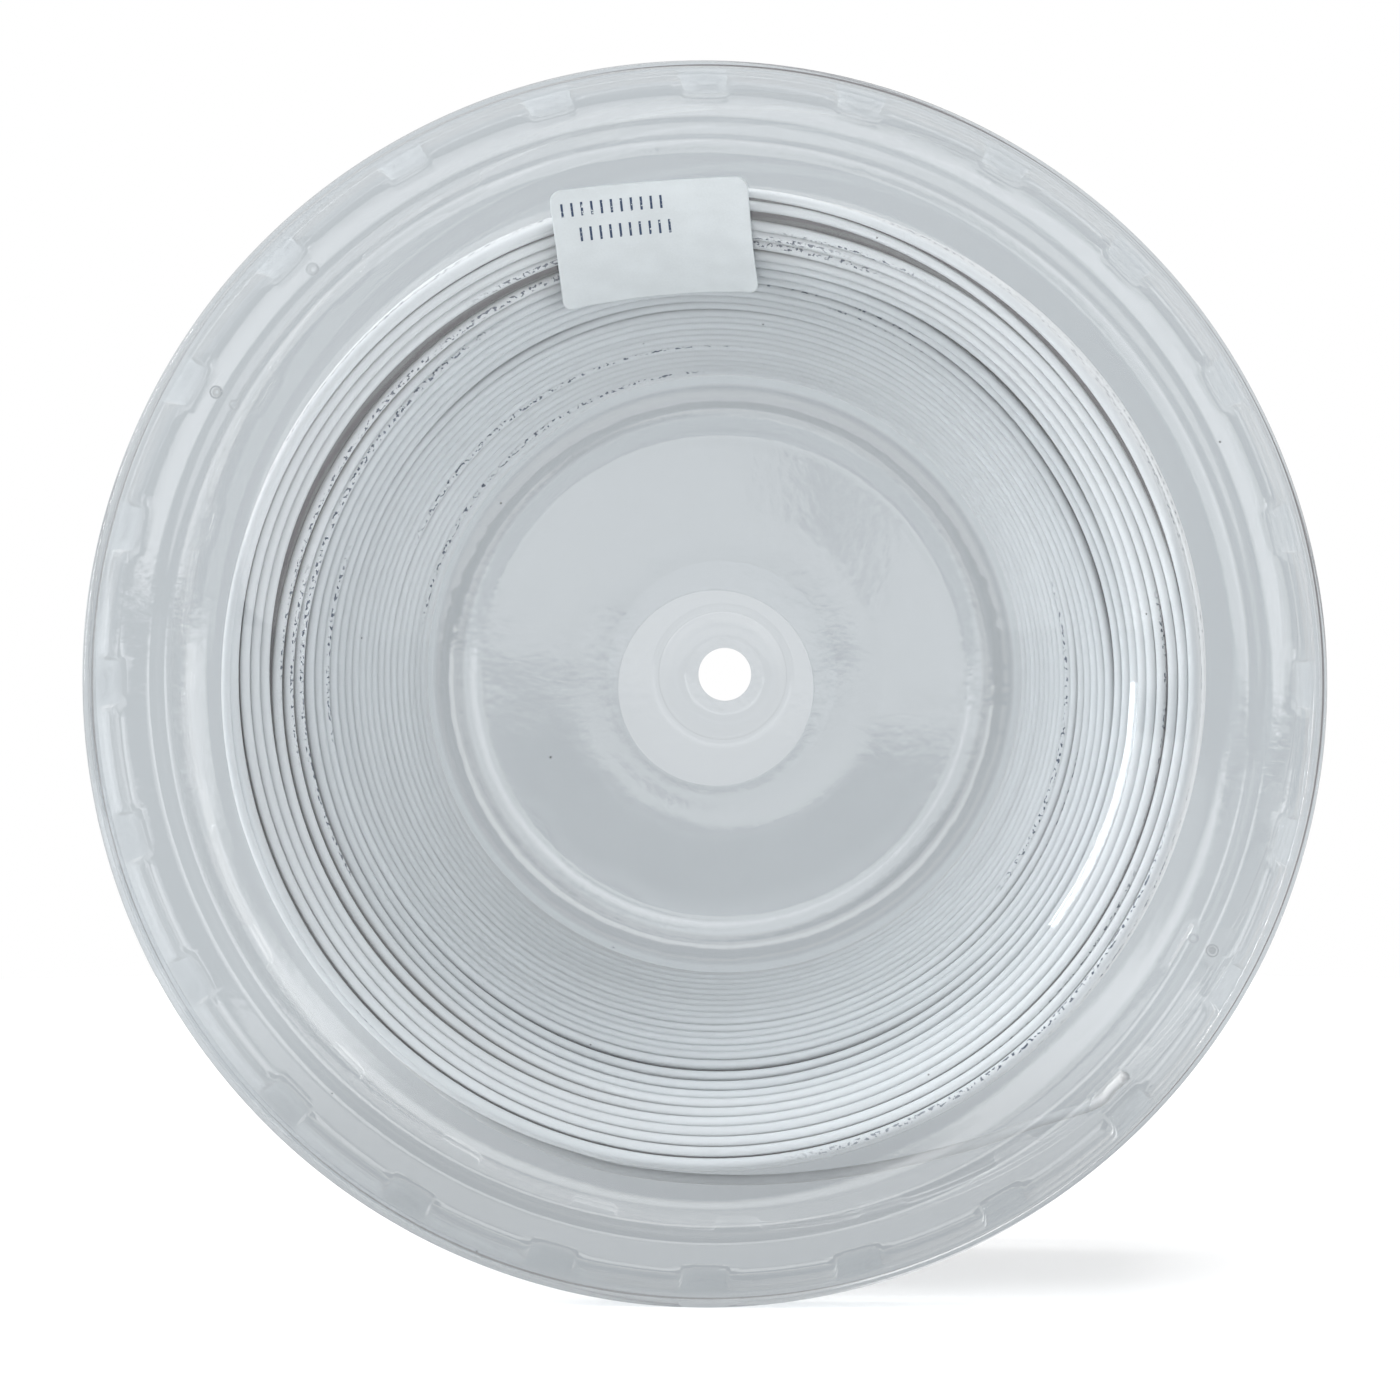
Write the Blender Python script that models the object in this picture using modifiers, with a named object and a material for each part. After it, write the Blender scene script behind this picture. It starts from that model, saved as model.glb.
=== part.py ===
"""Racket string reel: two clear thermoformed bowls bonded back to back, with string wound between them.

Metres, +Z up. The reel stands on its two rims with its axis along Y, and the front bowl opens to -Y.
The origin is where the middle plane meets the floor, straight below the axis.
Heights along the axis are measured from the middle plane, and angles from +X, as seen from the front.
"""

import math

import bmesh
import bpy
import numpy as np
from mathutils import Vector

# Bowls. The widths are measured inward from the rim.
RIM_RADIUS = 0.0720
HALF_WIDTH = 0.0390
WALL = 0.0006
WEB_RADIUS = 0.0352
FLANGE_WIDTH = 0.0106
STEP_WIDTH = 0.0072
STEP_RISE = 0.0004
CORNER_WIDTH = 0.0015
CORNER_RISE = 0.0004
LIP_WIDTH = 0.0012
LIP_HEIGHT = 0.0102
ROLL_RISE = 0.0003
SKIRT_LENGTH = 0.0067
GROOVE_CURVE = 2.1

# Lugs that keep stacked bowls apart
LUG_COUNT = 24
LUG_LENGTH = 0.0058
LUG_DEPTH = 0.0014
LUG_END = 0.0012

# Hub
BORE_RADIUS = 0.0033
CUP_FLOOR_RADIUS = 0.0060
CUP_TAPER = 0.0013
CUP_DEPTH = 0.0046
PUNCH_RADIUS = 0.0119
PUNCH_OFFSET = (-0.0007, -0.0015)

# Adhesive between the webs
ADHESIVE_INSET = 0.0056
ADHESIVE_THICKNESS = 0.0003

# String
STRING_DIAMETER = 0.00125
COIL_DEPTH = 0.0041
COIL_CROWN = 0.0010
TURN_VALLEY = 0.0005

# Slits in the front flange that hold the string's end
SLIT_LENGTH = 0.0058
SLIT_TAPER = 0.0019
SLIT_TIP_WIDTH = 0.0005
SLIT_CUTTER_DEPTH = 0.0072
TAIL_SLIT_INSET = 0.0052
TAIL_SLIT_ANGLE = -45.4
SPARE_SLIT_INSET = 0.0089
SPARE_SLIT_ANGLE = -28.8
SPARE_SLIT_WIDTH = 0.0007

# Price label
LABEL_WIDTH = 0.0230
LABEL_HEIGHT = 0.0160
LABEL_THICKNESS = 0.0003
LABEL_CORNER = 0.0014
LABEL_INSET = 0.0099
LABEL_ANGLE = 96.9
LABEL_TURN = -2.5
LABEL_STEPS = (-0.5, -0.48, -0.43, -0.3, -0.15, 0.0, 0.15, 0.3, 0.43, 0.48, 0.5)

# Fits and smoothness
CLEARANCE = 0.0003
GROOVE_STEPS = 5
GROOVE_SPREAD = 1.1
COLUMNS_PER_LUG = 5
TURNED_STEPS = 72
COIL_STEPS = 40
TAIL_SPACING = 0.0025
CURVE_SAMPLES = 24
SHARP_ANGLE = math.radians(35)
MERGE_DISTANCE = 0.00001
TOLERANCE = 0.0001

# Sizes that follow from the ones above
FLANGE_RADIUS = RIM_RADIUS - FLANGE_WIDTH
STEP_RADIUS = RIM_RADIUS - STEP_WIDTH
CORNER_RADIUS = RIM_RADIUS - CORNER_WIDTH
LIP_RADIUS = RIM_RADIUS - LIP_WIDTH
FLANGE_HEIGHT = HALF_WIDTH - LIP_HEIGHT
WEB_HEIGHT = ADHESIVE_THICKNESS / 2 + CLEARANCE
COIL_RADIUS = FLANGE_RADIUS - COIL_DEPTH
LABEL_RADIUS = FLANGE_RADIUS - LABEL_INSET
TAIL_SLIT_RADIUS = RIM_RADIUS - TAIL_SLIT_INSET
LUG_PITCH = 2 * math.pi / LUG_COUNT

# The end of the string on its way to the slit: angle, distance out from the coil, distance in from the flange.
TAIL_LAY = [
    (-106.0, 0.0000, 0.0083),
    (-96.0, 0.0001, 0.0076),
    (-84.0, 0.0005, 0.0066),
    (-72.0, 0.0017, 0.0055),
    (-61.0, 0.0038, 0.0042),
    (-53.0, 0.0060, 0.0026),
]

# Its way on through the slit: distance ahead of the slit's middle, height above the flange's.
TAIL_CROSSING = [(-0.0022, -0.0012), (0.0009, 0.0003), (0.0029, 0.0019)]


def polar(radius, degrees, height):
    """A point at a radius and an angle about the axis, in a bowl's own frame."""
    angle = math.radians(degrees)
    return Vector((radius * math.cos(angle), radius * math.sin(angle), height))


def groove_point(share):
    """A point on the groove side of a bowl's curved wall, from the web (0) to the flange (1)."""
    radius = WEB_RADIUS + share * (FLANGE_RADIUS - WEB_RADIUS)
    rise = 1 - (1 - share) ** GROOVE_CURVE
    return Vector((radius, WEB_HEIGHT + rise * (FLANGE_HEIGHT - WEB_HEIGHT)))


def groove_points():
    """The curved wall from the web to the flange, in steps that grow outward as it straightens."""
    return [groove_point((step / GROOVE_STEPS) ** GROOVE_SPREAD) for step in range(GROOVE_STEPS + 1)]


def flange_and_lip():
    """The flange with its small step, and the lip: a wall that rolls over at the rim and comes back as a skirt."""
    flange = FLANGE_HEIGHT + STEP_RISE
    skirt_radius = RIM_RADIUS - WALL
    crest_radius = (LIP_RADIUS + skirt_radius) / 2
    slope = math.atan2(ROLL_RISE, crest_radius - LIP_RADIUS)
    crest = HALF_WIDTH - WALL / math.cos(slope)
    return [
        Vector((STEP_RADIUS - STEP_RISE, FLANGE_HEIGHT)),
        Vector((STEP_RADIUS, flange)),
        Vector((CORNER_RADIUS, flange + CORNER_RISE)),
        Vector((LIP_RADIUS, crest - ROLL_RISE)),
        Vector((crest_radius, crest)),
        Vector((skirt_radius, crest - ROLL_RISE)),
        Vector((skirt_radius, HALF_WIDTH - SKIRT_LENGTH)),
    ]


def shifted(points, distance):
    """A turned profile moved sideways by a distance; positive is to the left of its direction."""
    moved = []
    for index, point in enumerate(points):
        before = points[max(index - 1, 0)]
        after = points[min(index + 1, len(points) - 1)]
        along = (after - before).normalized()
        moved.append(point + distance * Vector((-along.y, along.x)))
    return moved


def at_radius(points, radius):
    """The point of a profile at a radius, and the number of its points inside that radius."""
    for index, (start, end) in enumerate(zip(points, points[1:])):
        if end.x >= radius:
            return start.lerp(end, (radius - start.x) / (end.x - start.x)), index + 1
    return points[-1], len(points)


def at_length(points, length):
    """The point at a length along a profile, which runs straight on past its last point."""
    for start, end in zip(points, points[1:]):
        piece = (end - start).length
        if length <= piece or end is points[-1]:
            return start.lerp(end, length / piece)
        length -= piece


def principled(name, colour, roughness, transmission=0.0):
    material = bpy.data.materials.new(name)
    material.use_nodes = True
    shader = material.node_tree.nodes["Principled BSDF"]
    shader.inputs["Base Color"].default_value = (*colour, 1.0)
    shader.inputs["Roughness"].default_value = roughness
    shader.inputs["Transmission Weight"].default_value = transmission
    shader.inputs["IOR"].default_value = 1.57 if transmission else 1.5
    material.diffuse_color = (*colour, 1.0)
    return material


def add_object(name, mesh, collection, parent, material=None):
    """An object of one sub-part, placed in its parent's frame."""
    thing = bpy.data.objects.new(name, mesh)
    collection.objects.link(thing)
    thing.parent = parent
    if material:
        mesh.materials.append(material)
    return thing


def smooth(mesh):
    mesh.shade_smooth()
    mesh.set_sharp_from_angle(angle=SHARP_ANGLE)


def turned_surface(profile, columns):
    """An open surface turned about +Z from a profile of (radius, height) points, as a bmesh."""
    bm = bmesh.new()
    points = [bm.verts.new((point.x, 0.0, point.y)) for point in profile]
    edges = [bm.edges.new(pair) for pair in zip(points, points[1:])]
    bmesh.ops.spin(
        bm, geom=points + edges, cent=(0, 0, 0), axis=(0, 0, 1),
        angle=2 * math.pi, steps=columns, use_merge=True,
    )
    bmesh.ops.remove_doubles(bm, verts=bm.verts, dist=MERGE_DISTANCE)
    return bm


def column_angles():
    """The angles of the columns of one lug's pitch: both ends of both its ramps, and one between lugs."""
    half = (LUG_LENGTH + LUG_END) / 2 / CORNER_RADIUS
    ramp = LUG_END / CORNER_RADIUS
    return [-half, ramp - half, half - ramp, half, LUG_PITCH / 2]


def form_lugs(bm):
    """Gather the columns at the lugs, and draw the foot of the lip inward there, so that each leans on the lip."""
    angles = column_angles()
    step = LUG_PITCH / COLUMNS_PER_LUG
    for vert in bm.verts:
        radius = math.hypot(vert.co.x, vert.co.y)
        column = round(math.atan2(vert.co.y, vert.co.x) / step)
        lug, place = divmod(column, COLUMNS_PER_LUG)
        angle = lug * LUG_PITCH + angles[place]
        if place in (1, 2) and abs(radius - CORNER_RADIUS) < TOLERANCE:
            radius -= LUG_DEPTH
        vert.co.x = radius * math.cos(angle)
        vert.co.y = radius * math.sin(angle)


def add_bowl(name, profile, collection, parent, material, facing):
    """A thin clear bowl turned from the groove side of its wall, opening to the front (1) or rear (-1)."""
    bm = turned_surface(profile, LUG_COUNT * COLUMNS_PER_LUG)
    form_lugs(bm)
    mesh = bpy.data.meshes.new(name)
    bm.to_mesh(mesh)
    bm.free()
    bowl = add_object(name, mesh, collection, parent, material)
    bowl.rotation_euler.x = facing * math.pi / 2
    shell = bowl.modifiers.new("wall", "SOLIDIFY")
    shell.thickness = WALL
    shell.offset = 1.0
    shell.use_even_offset = True
    smooth(mesh)
    return bowl


def add_front_bowl(collection, cutters, parent, material):
    """The front bowl: its web is punched out round the hub, a little off centre, and its flange is slit."""
    profile = [Vector((PUNCH_RADIUS, WEB_HEIGHT))] + groove_points() + flange_and_lip()
    bowl = add_bowl("front_bowl", profile, collection, parent, material, 1)
    for vert in bowl.data.vertices:
        if math.hypot(vert.co.x, vert.co.y) < PUNCH_RADIUS + TOLERANCE:
            vert.co.x += PUNCH_OFFSET[0]
            vert.co.y += PUNCH_OFFSET[1]
    tail_width = STRING_DIAMETER + 2 * CLEARANCE
    cut_slit(bowl, cutters, "tail_slit", TAIL_SLIT_RADIUS, TAIL_SLIT_ANGLE, tail_width)
    spare_radius = RIM_RADIUS - SPARE_SLIT_INSET
    cut_slit(bowl, cutters, "spare_slit", spare_radius, SPARE_SLIT_ANGLE, SPARE_SLIT_WIDTH)


def cut_slit(bowl, cutters, name, radius, degrees, width):
    """Cut a slit along the ring, open at its upper end and drawn in to a narrow tip at the other."""
    end = SLIT_LENGTH / 2
    shoulder = SLIT_TAPER - end
    right = [(SLIT_TIP_WIDTH / 2, -end), (width / 2, shoulder), (width / 2, end)]
    left = [(-across, along) for across, along in reversed(right)]
    bm = bmesh.new()
    low = -SLIT_CUTTER_DEPTH / 2
    outline = bm.faces.new([bm.verts.new((across, along, low)) for across, along in right + left])
    raised = bmesh.ops.extrude_face_region(bm, geom=[outline])
    top = [item for item in raised["geom"] if isinstance(item, bmesh.types.BMVert)]
    bmesh.ops.translate(bm, verts=top, vec=(0, 0, SLIT_CUTTER_DEPTH))
    bmesh.ops.recalc_face_normals(bm, faces=bm.faces)
    mesh = bpy.data.meshes.new(name)
    bm.to_mesh(mesh)
    bm.free()
    cutter = add_object(name, mesh, cutters, bowl)
    cutter.location = polar(radius, degrees, FLANGE_HEIGHT)
    cutter.rotation_euler.z = math.radians(degrees)
    cutter.hide_render = True
    cutter.display_type = "WIRE"
    cut = bowl.modifiers.new(name, "BOOLEAN")
    cut.operation = "DIFFERENCE"
    cut.solver = "EXACT"
    cut.object = cutter


def add_rear_bowl(collection, parent, material):
    """The rear bowl: its web holds the hub, a small cup that stands into the bowl, with the bore in its floor."""
    floor = WEB_HEIGHT + CUP_DEPTH
    hub = [
        Vector((BORE_RADIUS, floor)),
        Vector((CUP_FLOOR_RADIUS, floor)),
        Vector((CUP_FLOOR_RADIUS + CUP_TAPER, WEB_HEIGHT)),
    ]
    add_bowl("rear_bowl", hub + groove_points() + flange_and_lip(), collection, parent, material, -1)


def add_turned_solid(name, outline, steps, collection, parent, material):
    """A solid ring turned about the reel's axis from a closed outline of (radius, height) points."""
    mesh = bpy.data.meshes.new(name)
    count = len(outline)
    mesh.from_pydata(
        [(point.x, 0.0, point.y) for point in outline],
        [(index, (index + 1) % count) for index in range(count)], [],
    )
    ring = add_object(name, mesh, collection, parent, material)
    ring.rotation_euler.x = math.pi / 2
    screw = ring.modifiers.new("turn", "SCREW")
    screw.axis = "Z"
    screw.angle = 2 * math.pi
    screw.steps = steps
    screw.render_steps = steps
    screw.use_merge_vertices = True
    screw.merge_threshold = MERGE_DISTANCE
    screw.use_smooth_shade = True
    return ring


def add_adhesive(collection, parent, material):
    """The ring of clear adhesive between the webs, kept clear of the punched hole."""
    inner = PUNCH_RADIUS + math.hypot(*PUNCH_OFFSET) + CLEARANCE
    half = ADHESIVE_THICKNESS / 2
    outer = WEB_RADIUS - ADHESIVE_INSET
    corners = [(outer, half), (outer, -half), (inner, -half), (inner, half)]
    outline = [Vector(corner) for corner in corners]
    add_turned_solid("web_adhesive", outline, TURNED_STEPS, collection, parent, material)


def add_coil(collection, parent, material):
    """The wound string as one ring that fills the groove, with the turns of its last layer as ribs."""
    side = coil_side()
    mirrored = [Vector((point.x, -point.y)) for point in reversed(side)]
    add_turned_solid("string_coil", side + coil_ribs() + mirrored, COIL_STEPS, collection, parent, material)


def coil_side():
    """The side of the wound string, a clearance from the bowl's wall, out to the coil's edge."""
    wall = shifted(groove_points(), -CLEARANCE)
    edge, count = at_radius(wall, COIL_RADIUS)
    return wall[:count] + [edge]


def coil_ribs():
    """The last layer across the crowned outside: a ridge for each turn, and a valley between it and the next."""
    half = coil_side()[-1].y
    turns = int(2 * half / STRING_DIAMETER)
    ribs = []
    for step in range(1, 2 * turns):
        height = half * (1 - step / turns)
        valley = TURN_VALLEY if step % 2 == 0 else 0.0
        ribs.append(Vector((coil_top(height) - valley, height)))
    return ribs


def coil_top(height):
    """The radius of the coil's crowned outside at a height along the axis."""
    edge = coil_side()[-1]
    return edge.x + COIL_CROWN * (1 - (height / edge.y) ** 2)


def tail_route():
    """The centre line of the string's end: off the coil, out across the groove and through its slit."""
    flange = FLANGE_HEIGHT + STEP_RISE + WALL / 2
    route = []
    for degrees, out, inside in TAIL_LAY:
        height = FLANGE_HEIGHT - inside
        radius = coil_top(height) + CLEARANCE + STRING_DIAMETER / 2 + out
        route.append(polar(radius, degrees, height))
    for ahead, rise in TAIL_CROSSING:
        degrees = TAIL_SLIT_ANGLE + math.degrees(ahead / TAIL_SLIT_RADIUS)
        route.append(polar(TAIL_SLIT_RADIUS, degrees, flange + rise))
    return route


def through(route, spacing):
    """Points a spacing apart along a Catmull-Rom curve through a route."""
    ends = [2 * route[0] - route[1]] + route + [2 * route[-1] - route[-2]]
    fine = []
    for a, b, c, d in zip(ends, ends[1:], ends[2:], ends[3:]):
        for t in np.linspace(0.0, 1.0, CURVE_SAMPLES, endpoint=False):
            fine.append(0.5 * (2 * b + (c - a) * t + (2 * a - 5 * b + 4 * c - d) * t ** 2
                               + (3 * b - a - 3 * c + d) * t ** 3))
    fine.append(route[-1])
    fine = np.array(fine)
    lengths = np.concatenate([[0.0], np.cumsum(np.linalg.norm(np.diff(fine, axis=0), axis=1))])
    count = max(2, round(lengths[-1] / spacing))
    places = np.linspace(0.0, lengths[-1], count + 1)
    return np.stack([np.interp(places, lengths, fine[:, axis]) for axis in range(3)], axis=1)


def add_tail(collection, parent, material):
    """The end of the string, a plain tube held by the slit in the front flange."""
    points = through(tail_route(), TAIL_SPACING)
    curve = bpy.data.curves.new("string_tail", "CURVE")
    curve.dimensions = "3D"
    curve.bevel_depth = STRING_DIAMETER / 2
    curve.bevel_resolution = 2
    curve.use_fill_caps = True
    spline = curve.splines.new("POLY")
    spline.points.add(len(points) - 1)
    for control, point in zip(spline.points, points):
        control.co = (*point, 1.0)
    tail = add_object("string_tail", curve, collection, parent, material)
    tail.rotation_euler.x = math.pi / 2


def label_outline(across, up):
    """Pull the corners of the label's grid in, so that its outline is round there."""
    half_width = LABEL_WIDTH / 2 - LABEL_CORNER
    half_height = LABEL_HEIGHT / 2 - LABEL_CORNER
    over_x = max(abs(across) - half_width, 0.0)
    over_y = max(abs(up) - half_height, 0.0)
    if over_x and over_y:
        reach = math.hypot(over_x, over_y)
        square = max(over_x, over_y)
        across = math.copysign(half_width + over_x * square / reach, across)
        up = math.copysign(half_height + over_y * square / reach, up)
    return across, up


def add_label(collection, parent, material):
    """A paper label stuck to the inside of the front bowl, bent to the curve of its wall."""
    wall = shifted(groove_points(), WALL + CLEARANCE)
    centre, count = at_radius(wall, LABEL_RADIUS)
    inside = wall[:count] + [centre]
    middle = sum((end - start).length for start, end in zip(inside, inside[1:]))
    slope = (wall[count] - wall[count - 1]).normalized().x
    cone = LABEL_RADIUS / slope
    turn = math.radians(LABEL_TURN)
    verts = []
    for row in LABEL_STEPS:
        for column in LABEL_STEPS:
            across, up = label_outline(column * LABEL_WIDTH, row * LABEL_HEIGHT)
            tilted = across * math.cos(turn) - up * math.sin(turn)
            upward = across * math.sin(turn) + up * math.cos(turn)
            slant = math.hypot(cone + upward, tilted)
            swing = math.atan2(tilted, cone + upward) / slope
            place = at_length(wall, middle + slant - cone)
            angle = math.radians(LABEL_ANGLE) - swing
            verts.append((place.x * math.cos(angle), place.x * math.sin(angle), place.y))
    wide = len(LABEL_STEPS)
    faces = []
    for row in range(wide - 1):
        for column in range(wide - 1):
            first = row * wide + column
            faces.append((first, first + 1, first + wide + 1, first + wide))
    mesh = bpy.data.meshes.new("price_label")
    mesh.from_pydata(verts, [], faces)
    label = add_object("price_label", mesh, collection, parent, material)
    label.rotation_euler.x = math.pi / 2
    paper = label.modifiers.new("paper", "SOLIDIFY")
    paper.thickness = LABEL_THICKNESS
    paper.offset = 1.0
    smooth(mesh)


def main():
    for thing in list(bpy.data.objects):
        bpy.data.objects.remove(thing)
    scene = bpy.context.scene
    scene.unit_settings.system = "METRIC"
    parts = bpy.data.collections.new("string_reel")
    cutters = bpy.data.collections.new("cutters")
    scene.collection.children.link(parts)
    scene.collection.children.link(cutters)

    axis = bpy.data.objects.new("reel_axis", None)
    axis.location.z = RIM_RADIUS
    parts.objects.link(axis)

    clear = (0.86, 0.89, 0.90)
    add_front_bowl(parts, cutters, axis, principled("clear_plastic_front", clear, 0.05, 0.95))
    add_rear_bowl(parts, axis, principled("clear_plastic_rear", clear, 0.05, 0.95))
    add_adhesive(parts, axis, principled("adhesive", (0.78, 0.81, 0.83), 0.12, 0.9))
    add_coil(parts, axis, principled("wound_string", (0.82, 0.85, 0.86), 0.32))
    add_tail(parts, axis, principled("string_end", (0.82, 0.85, 0.86), 0.32))
    add_label(parts, axis, principled("label_paper", (0.62, 0.64, 0.66), 0.75))


main()
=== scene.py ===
"""Dresses the racket string reel: clear bowls, wound string, the string's end, adhesive and price label.

Metres, +Z up. The reel's axis lies along Y, its front bowl opens to -Y, and it stands on the floor at z = 0.
Heights along the axis are measured out from the middle plane, and angles from +X, as seen from the front.
"""

import math

import bmesh
import bpy
import numpy as np
from bpy.props import FloatProperty, FloatVectorProperty, IntProperty, PointerProperty
from bpy.types import Operator, Panel, PropertyGroup
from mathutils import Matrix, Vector


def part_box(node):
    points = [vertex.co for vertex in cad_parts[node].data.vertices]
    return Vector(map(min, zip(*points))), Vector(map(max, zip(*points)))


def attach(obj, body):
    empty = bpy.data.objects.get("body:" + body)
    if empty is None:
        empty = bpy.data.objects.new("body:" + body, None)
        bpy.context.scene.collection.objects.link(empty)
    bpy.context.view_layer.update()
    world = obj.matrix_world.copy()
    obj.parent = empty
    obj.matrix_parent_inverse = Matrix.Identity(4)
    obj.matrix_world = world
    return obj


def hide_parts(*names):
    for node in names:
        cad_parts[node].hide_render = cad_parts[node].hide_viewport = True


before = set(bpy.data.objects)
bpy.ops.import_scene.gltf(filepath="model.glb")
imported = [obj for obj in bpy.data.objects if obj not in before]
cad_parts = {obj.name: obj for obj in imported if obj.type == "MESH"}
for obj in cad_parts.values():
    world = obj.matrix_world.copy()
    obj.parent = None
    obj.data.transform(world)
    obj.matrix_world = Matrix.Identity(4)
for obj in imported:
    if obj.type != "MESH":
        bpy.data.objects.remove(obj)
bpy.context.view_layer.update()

bl_info = {
    "name": "String reel",
    "version": (1, 0, 0),
    "blender": (4, 5, 0),
    "location": "View3D > Sidebar > String reel",
    "description": "Makes the pieces, materials and stage of a clear reel of racket string",
    "category": "Add Mesh",
}

FRONT = -1
REAR = 1
TURN = 2 * math.pi
BODY = "root"


def span(node, axis):
    """The width of a CAD node along an axis: 0, 1 or 2 for X, Y or Z."""
    low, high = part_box(node)
    return high[axis] - low[axis]


RIM_RADIUS = span("rear_bowl", 0) / 2
AXIS_HEIGHT = sum(corner[2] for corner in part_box("rear_bowl")) / 2
HALF_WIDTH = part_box("rear_bowl")[1][1]
WEB_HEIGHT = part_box("rear_bowl")[0][1]
COIL_TOP = span("string_coil", 0) / 2
COIL_HALF_WIDTH = span("string_coil", 1) / 2
ADHESIVE_RADIUS = span("web_adhesive", 0) / 2


def length(name, description, default):
    """A size in metres for a property group."""
    return FloatProperty(
        name=name, description=description, default=default, precision=5, subtype="DISTANCE", unit="LENGTH",
    )


def number(name, description, default, low, high):
    """A plain number for a property group."""
    return FloatProperty(name=name, description=description, default=default, min=low, max=high)


def bearing(name, description, default):
    """An angle for a property group, given in degrees."""
    return FloatProperty(name=name, description=description, default=math.radians(default), subtype="ANGLE")


def colour(name, description, default):
    """A linear colour for a property group."""
    return FloatVectorProperty(
        name=name, description=description, default=default, subtype="COLOR", size=3, min=0.0, max=1.0,
    )


class BowlSettings(PropertyGroup):
    wall: length("Wall", "Thickness of the clear sheet", 0.0006)
    web_radius: length("Web radius", "Where the flat web turns into the curved wall", 0.0352)
    flange_radius: length("Flange radius", "Where the curved wall runs out into the flange", 0.0614)
    flange_height: length("Flange height", "From the middle plane to the flange", 0.0288)
    step_radius: length("Step radius", "The small step pressed round the flange", 0.0648)
    step_rise: length("Step rise", "How far the step lifts the flange", 0.0004)
    corner_radius: length("Corner radius", "Where the flange turns into the lip", 0.0705)
    corner_rise: length("Corner rise", "Lift of the flange from its step to its corner", 0.0004)
    lip_radius: length("Lip radius", "Where the lip's wall starts to roll over", 0.0708)
    skirt: length("Skirt", "From the rim back to the cut edge", 0.0067)
    rounding: length("Rounding", "How far the bends of the sheet are eased", 0.00014)
    web_rounding: length("Web rounding", "How far the bend round the web is eased", 0.0010)
    bend_radius: length("Bend radius", "Where the flange's outer edge bends up to its corner", 0.0690)
    oval: length("Out of round", "How far the flange is out of round", 0.00030)
    lug_depth: length("Lug depth", "How far the stacking lugs draw the lip's foot inward", 0.0014)
    lug_length: length("Lug length", "Length of a stacking lug along the rim", 0.0058)
    punch_radius: length("Punched hole", "Radius of the hole in the front web", 0.0119)
    bead_radius: length("Bead radius", "The soft raised ring on the web", 0.0308)
    bead_height: length("Bead height", "How far that ring stands up", 0.00016)
    warp: length("Warp", "How uneven the formed sheet is", 0.00013)
    bore_radius: length("Bore radius", "The hole for the spindle", 0.0033)
    cup_radius: length("Cup radius", "The floor of the hub's cup", 0.0060)
    cup_taper: length("Cup taper", "How much wider the cup is at the web", 0.0013)
    cup_depth: length("Cup depth", "From the web to the floor of the cup", 0.0046)
    curve: number("Groove curve", "Power that shapes the curved wall", 2.1, 1.0, 4.0)
    ease: number("Wall ease", "Share of its width from which the wall runs on straight", 0.85, 0.5, 1.0)
    lugs: IntProperty(name="Lugs", description="Number of stacking lugs", default=24, min=3, max=60)
    tint: colour("Front tint", "Light that one face of the front bowl lets through", (0.905, 0.916, 0.923))
    rear_tint: colour("Rear tint", "Light that one face of the rear bowl lets through", (0.975, 0.978, 0.980))
    edge_tint: colour("Edge tint", "Share of that light left at a slant", (0.955, 0.965, 0.975))


class StringSettings(PropertyGroup):
    diameter: length("Diameter", "Thickness of the string", 0.00125)
    clearance: length("Clearance", "Room between string and wall", 0.0003)
    coil_radius: length("Coil radius", "Outer edge of the winding on the walls", 0.0573)
    crown: length("Crown", "How much higher the winding is in the middle", 0.0010)
    looseness: number("Looseness", "Share of the winding's width that is gaps", 0.084, 0.0, 0.4)
    steps: IntProperty(name="Steps", description="Points in one turn of string", default=200, min=48, max=400)
    tint: colour("String", "Colour of the string", (0.82, 0.84, 0.855))
    gap: colour("Gaps", "Colour of the shade between turns", (0.045, 0.035, 0.045))
    ink: colour("Ink", "Colour of the worn print on the string", (0.03, 0.05, 0.10))


class LabelSettings(PropertyGroup):
    width: length("Width", "Width of the price label", 0.0230)
    height: length("Height", "Height of the price label", 0.0160)
    corner: length("Corner", "Radius of its corners", 0.0014)
    radius: length("Radius", "Distance of its centre from the axis", 0.0515)
    angle: bearing("Angle", "Where it sits round the axis", 96.9)
    turn: bearing("Turn", "How far it is turned on the wall", -2.5)
    paper: colour("Paper", "Colour of the paper", (0.56, 0.60, 0.62))


class StageSettings(PropertyGroup):
    distance: length("Camera distance", "From the front rim to the camera", 0.8)
    azimuth: bearing("Azimuth", "Camera angle round the reel", 3.9)
    elevation: bearing("Elevation", "Camera angle above level", 1.76)
    lens: number("Lens", "Focal length in millimetres", 178.6, 20.0, 400.0)
    drop: length("Aim drop", "How far below the axis the camera aims", 0.00167)
    floor: colour("Floor", "Colour of the floor", (0.80, 0.80, 0.80))
    floor_glow: number("Floor glow", "Light added to the floor for the camera", 0.24, 0.0, 1.0)
    backdrop: colour("Backdrop", "Colour of the backdrop behind clear plastic", (0.650, 0.685, 0.712))


# Geometry

# The sheet's finer form. Heights and reaches are in metres.
WEB_BEND_REACH = 0.0035
BEAD_REACH = 0.0006
DISH_SLOPE = 0.085
DISH_WIDTH = 0.0046
WRINKLE_HEIGHT = 0.000035
SWAY_HEIGHT = 0.00005
LUG_FADE_UP = 0.0072
LUG_FADE_IN = 0.0032
CUT_EDGE_ROW = 0.00012
CUT_EDGE_BULGE = 0.00009
SLIT_CUT_DEPTH = 0.006

# Shares of the string's diameter: thickness of a flank turn, and depth of the shaded core below the turns.
FLANK_TURN = 0.97
CORE_DEPTH = 0.86

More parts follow.
